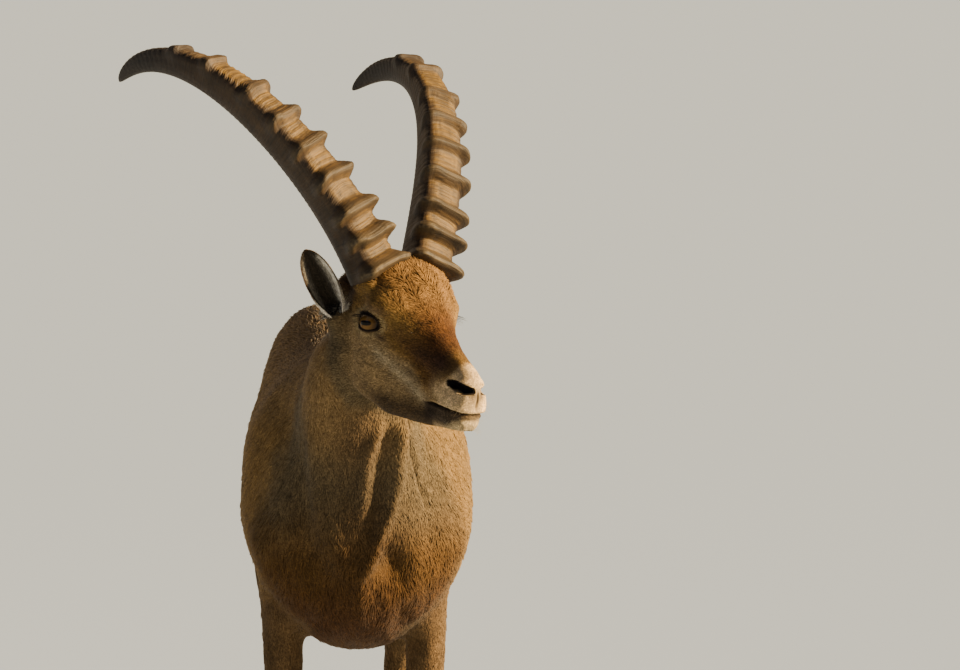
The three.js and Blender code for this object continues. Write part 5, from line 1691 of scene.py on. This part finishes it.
@dataclass(frozen=True)
class EarDress:
    """Coat of the ears: short outside, long pale hair in bands inside."""

    head: Head
    outside: str = "7b5c3a"
    edge: str = "3a2a1c"
    inside: str = "2c251c"
    band: str = "e2d8c6"
    seed: int = 77
    count: int = 8200
    quick_count: int = 1800
    columns: int = 49

    def colour(self, ear: Ear, points: Array) -> Array:
        """Colours of an ear, by place along and across it and by which face it is on.

        Args:
            ear: the ear.
            points: places on it in mm.

        Returns:
            One linear colour for each.
        """
        root, way, mouth, across = ear.axes()
        local = self.head.into(points) - root
        t = (local @ way - ear.stump) / (ear.length - ear.stump)
        radius, half = along_rows(np.array(ear.rows, float), np.clip(t, 0, 1)).T
        m = local @ mouth - (-6 * np.sin(np.pi * np.clip(t, 0, 1)) + 5 * np.clip(t, 0, 1) ** 2)
        x = local @ across
        reach = np.hypot(m - radius * 0.55, x)
        turn = -ear.side * np.arctan2(x, radius * 0.55 - m) / np.radians(half)
        inner = step(reach - radius, 0.1, -0.5)
        bands = (hill((turn, 0.78, 0.3)) * step(t, 0.85, 0.6)
                 + 0.2 * hill((turn, -0.62, 0.16)) * step(t, 0.9, 0.6))
        rim = step(np.abs(turn), 0.8, 0.95) * step(t, 0.1, 0.4) + step(t, 0.92, 0.99)
        paint = Paint.plain(self.outside, points.shape)
        paint.lay(self.inside, inner)
        paint.lay(self.band, 0.8 * (1 - inner) * step(t, 0.45, 0.1))
        paint.lay(self.band, 0.9 * (inner * np.clip(bands, 0, 1)))
        paint.lay(self.edge, 0.7 * np.clip(rim, 0, 1))
        return paint.tone

    def build(self, shop: Workshop, ears: tuple[Ear, ...], material: Material) -> None:
        """Tufts on both faces of both ears, longer inside, pointing to the tip."""
        draw = np.random.default_rng(self.seed)
        count = self.count
        parts = []
        for number, ear in enumerate(ears):
            sheet = ear.surface(self.head, points=self.columns)
            a, b, c = sheet.corners()
            total = np.cumsum(np.linalg.norm(np.cross(b - a, c - a), axis=1))
            face = np.searchsorted(total, draw.uniform(0, total[-1], count))
            root, out = sheet.scatter(face, draw)
            _, way, mouth, across = (v @ self.head.axes() for v in ear.axes())
            flow = way + draw.normal(0, 0.16, (count, 3))
            inner = out @ mouth
            away = root - self.head.out_of(ear.axes()[0])
            flow = flow + across * (0.25 * np.sign(away @ across) * inner)[:, None]
            flow = unit(flow - out * (flow * out).sum(-1, keepdims=True))
            column = sheet.triangles[face][:, 0] % (2 * self.columns)
            half = (self.columns - 1) / 2
            rim = np.abs(np.where(column < self.columns, column / half - 1,
                                  1 - (column - self.columns) / half))
            along = away @ way / ear.length
            long = np.where(inner > -0.2, 10.0, 4.0) * draw.uniform(0.7, 1.3, count)
            long = long * (1 - 0.85 * np.maximum(step(rim, 0.72, 0.92), step(along, 0.9, 0.98)))
            tint = self.colour(ear, root) * draw.normal(1, 0.26, (count, 1))
            middle, tipward, open_, over = ear.axes()
            local = self.head.into(root) - middle
            turn = np.arctan2(local @ over, local @ open_)
            place = np.column_stack([np.clip(local @ tipward / 130, 0, 0.98),
                                     (number + 0.49 + 0.45 * np.sin(turn)) / 2])
            out = np.where((inner > 0)[:, None], unit(out + 1.2 * mouth), out)
            parts.append(Tufts(root, out, flow, long, np.full(count, 1.0),
                               np.full(count, 0.09) + 0.06 * (inner > 0.1),
                               np.clip(tint, 0.003, 1), place))
        tufts = Tufts(*(np.concatenate([getattr(part, key.name) for part in parts])
                        for key in fields(Tufts)))
        surface, colour, uv, shaded = tufts.surface(draw)
        shop.piece(f"coat_{Region.EARS.value}", surface, material, (), colour, uv,
                   shaded=shaded)


@dataclass(frozen=True)
class Bristles:
    """Lashes on the upper lids and sparse whiskers on lips and chin, as thin tapered spikes."""

    head: Head
    lashes: int = 34
    whiskers: int = 44
    lash: str = "1c130d"
    whisker: str = "b59f7c"
    seed: int = 5
    rings: int = 5
    sides: int = 3

    def build(self, shop: Workshop, material: Material) -> None:
        """Both sides in one piece: tapered spikes that droop with the square of the length."""
        draw = np.random.default_rng(self.seed)
        roots, ways, sizes, tints = [], [], [], []
        n, count = self.lashes, self.whiskers
        for side in (LEFT, RIGHT):
            middle, axes = self.head.eye_axes(side)
            outline = self.head.almond()[4:56]
            pick = outline[np.linspace(2, 49, n).astype(int)] + draw.normal(0, 0.25, (n, 2)) + [0, 0.7]
            ahead = np.sqrt(np.maximum(17.6**2 - (pick**2).sum(1), 1))
            roots.append(middle + pick @ axes[:2] + ahead[:, None] * axes[2])
            lean = np.column_stack([pick[:, 0] * 0.03 + draw.normal(0, 0.12, n), np.full(n, 0.1),
                                    np.full(n, 1.0)])
            ways.append(unit(lean @ axes))
            sizes.append(np.column_stack([draw.uniform(12, 20, n), np.full(n, 0.42)]))
            tints.append(np.tile(linear(self.lash), (n, 1)))
            f = draw.uniform(128, 157, count)
            row = along_rows(np.array(self.head.rows, float), f)
            low = draw.uniform(size=count) < 0.5
            u = np.where(low, draw.uniform(-86, -74, count), draw.uniform(-62, -50, count))
            l = side * (np.interp(u, [-90, -70, -45], [6, 20, 22]) * (0.55 + 0.4 * row[:, 5] / 25) - 1)
            roots.append(np.column_stack([f, l, u]))
            ways.append(unit(np.column_stack([draw.uniform(0.1, 0.8, count), side * np.ones(count),
                                              draw.uniform(-0.9, -0.1, count)])))
            sizes.append(np.column_stack([draw.uniform(8, 17, count), np.full(count, 0.30)]))
            tints.append(np.tile(linear(self.whisker), (count, 1)))
        root, way = self.head.out_of(np.concatenate(roots)), np.concatenate(ways) @ self.head.axes()
        length, width = np.concatenate(sizes).T[:, :, None, None]
        side = unit(np.cross(way, [0.1, 0.2, 1.0]))
        over = np.cross(side, way)
        t = np.linspace(0, 1, self.rings)[None, :, None]
        droop = np.array([0, 0, -1.0])
        line = root[:, None] + way[:, None] * length * t + droop * 0.22 * length * t * t
        size = width / 2 * (1 - t) + 0.03
        angle = around(self.sides)
        ring = (side[:, None, None] * np.cos(angle)[None, None, :, None]
                + over[:, None, None] * np.sin(angle)[None, None, :, None])
        points = line[:, :, None] + ring * size[..., None]
        spikes = together([loft(p) for p in points])
        tint = np.repeat(np.concatenate(tints), self.rings * self.sides + 2, 0)
        shop.piece("lashes_and_whiskers", spikes, material, (), tint)


@dataclass(frozen=True)
class Studio:
    """Pale floor, a warm sun lamp with two large soft lamps, and the photograph's camera."""

    place: Placement
    target: Triple = (152.94, -304.93, 883.06)
    azimuth: float = -2.5
    elevation: float = 5
    distance: float = 10000
    focal_px: float = 7812.5
    width_px: float = 960
    sensor: float = 36.0
    floor_half: float = 90.0
    aim: Triple = (0, -0.2, 0.8)

    @staticmethod
    def _stand(name: str, data: ID, axes: tuple[Array, Array, Array],
               where: Array | tuple) -> Object:
        """Puts a camera or lamp at a place in metres, with its right, up and back axes."""
        made = bpy.data.objects.new(name, data)
        bpy.context.scene.collection.objects.link(made)
        matrix = np.eye(4)
        matrix[:3] = np.column_stack([*axes, where])
        made.matrix_world = Matrix(matrix.tolist())
        return made

    def camera(self) -> None:
        """Looks from the azimuth and elevation at the target, with the photograph's scale."""
        a, e = math.radians(self.azimuth), math.radians(self.elevation)
        back = np.array([math.sin(a) * math.cos(e), -math.cos(a) * math.cos(e), math.sin(e)])
        right = np.array([math.cos(a), math.sin(a), 0])
        up = np.cross(back, right)
        where = self.place.place(np.array(self.target) + self.distance * back)
        data = bpy.data.cameras.new("camera")
        data.sensor_width, data.lens = self.sensor, self.sensor * self.focal_px / self.width_px
        data.clip_end = 400
        bpy.context.scene.camera = self._stand("camera", data, (right, up, back), where)

    def floor(self) -> None:
        """Plain pale floor, wide enough to be the background."""
        mesh = bpy.data.meshes.new("floor")
        half = self.floor_half
        corners = [(-half, -half, 0), (half, -half, 0), (half, half, 0), (-half, half, 0)]
        mesh.from_pydata(corners, [], [(0, 1, 2, 3)])
        made, _, shader = new_material("pale_floor", Roughness=0.9)
        shader.inputs["Base Color"].default_value = rgba("acbad0")
        mesh.materials.append(made)
        floor = bpy.data.objects.new("floor", mesh)
        bpy.context.scene.collection.objects.link(floor)

    def light(self, name: str, kind: str, where: tuple, size: float, power: float,
              colour: str) -> None:
        """One lamp that looks at the chest.

        Args:
            name: its name.
            kind: SUN or AREA.
            where: its place in metres.
            size: the sun's angle in degrees or the disk's width in metres.
            power: the sun's strength or the disk's watts.
            colour: sRGB hex colour.
        """
        data = bpy.data.lights.new(name, kind)
        data.energy, data.color = power, linear(colour)
        if kind == "SUN":
            data.angle = math.radians(size)
        else:
            data.shape, data.size = "DISK", size
        z = unit(np.array(where) - np.array(self.aim))
        x = unit(np.cross([0, 0, 1.0], z))
        self._stand(name, data, (x, np.cross(z, x), z), where)

    def build(self) -> None:
        """Sets floor, lights, world and camera."""
        self.floor()
        self.light("key", "SUN", (3.88, -1.12, 2.36), 4, 18.0, "ffe4b4")
        self.light("fill", "AREA", (-3.2, -3.8, 2.6), 3.0, 16, "93b7f8")
        self.light("edge", "AREA", (-2.4, 3.2, 2.8), 2.0, 30, "ffdcae")
        world = bpy.data.worlds.new("studio")
        world.use_nodes = True
        sky = world.node_tree.nodes["Background"].inputs
        sky["Color"].default_value, sky["Strength"].default_value = rgba("d4e1f4"), 0.16
        bpy.context.scene.world = world
        self.camera()


def main() -> None:
    """Builds skin, coat, horns, eyes and hooves in order, then the studio."""
    logging.basicConfig(level=logging.INFO, format="%(name)s %(message)s")
    head, tail = Head(), Tail()
    soles = [float(sum(corner[0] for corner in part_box(name))) / 2
             for name in ("foreleg_left_hoof_left", "foreleg_right_hoof_right")]
    tail_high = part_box("tail")[1]
    placement = Placement((sum(soles) * 500,
                           float(tail_high[1]) * 1000 - float(tail.rings(9, 12)[..., 1].max()), 0.0))
    LOG.info("shift %s", placement.shift)
    shop = Workshop(placement)
    legs = (Leg("foreleg_left", LEFT, -10, True), Leg("foreleg_right", RIGHT, 8, True),
            Leg("hindleg_left", LEFT, 26, False), Leg("hindleg_right", RIGHT, -22, False))
    ears = (Ear(RIGHT, (0.03, -0.668, 0.744), (0.88, -0.46, -0.12)),
            Ear(LEFT, (-0.5, 0.6, 0.62), (0.62, 0.78, 0.0)))
    horns = (Horn(LEFT), Horn(RIGHT))
    markings = Markings(head)
    hair, ear_dress = HairFinish(), EarDress(head)
    skin_finish, hair_finish = hair.skin(), hair.tufts()

    body = Skin(head, Trunk(), legs, tail, ears, horns).build()
    sheets = [ear.surface(head) for ear in ears]
    tint = np.concatenate([markings.colour(body.points),
                           *(ear_dress.colour(e, s.points) for e, s in zip(ears, sheets))])
    whole = together([body, *sheets])
    face = step(head.into(whole.points)[:, 0], -60, -20)
    flesh = ("torso", "neck", "head", "tail", "ear_left", "ear_right",
             *(f"{leg.name}_{part}" for leg in legs for part in ("upper", "lower")))
    shop.piece("skin", whole, skin_finish, flesh, tint * 0.85, mask=face)
    Coat(head, markings).build(shop, body, hair_finish)
    ear_dress.build(shop, ears, hair_finish)
    Bristles(head).build(shop, hair_finish)
    horn_finish = HornFinish().material()
    for horn in horns:
        HornDress(head).build(shop, horn, horn_finish)
    wet = EyeFinish().material()
    for side in HAND:
        Eyes(head).build(shop, side, wet)
    hoof = HoofFinish().material()
    for leg in legs:
        for turn, hand in HAND.items():
            shop.piece(f"{leg.name}_claw_{hand}", leg.claw(turn), hoof,
                       (f"{leg.name}_hoof_{hand}",))
            shop.piece(f"{leg.name}_spur_{hand}", leg.dewclaw(turn), hoof,
                       (f"{leg.name}_dewclaw_{hand}",))
    Studio(placement).build()


if __name__ == "__main__":
    main()
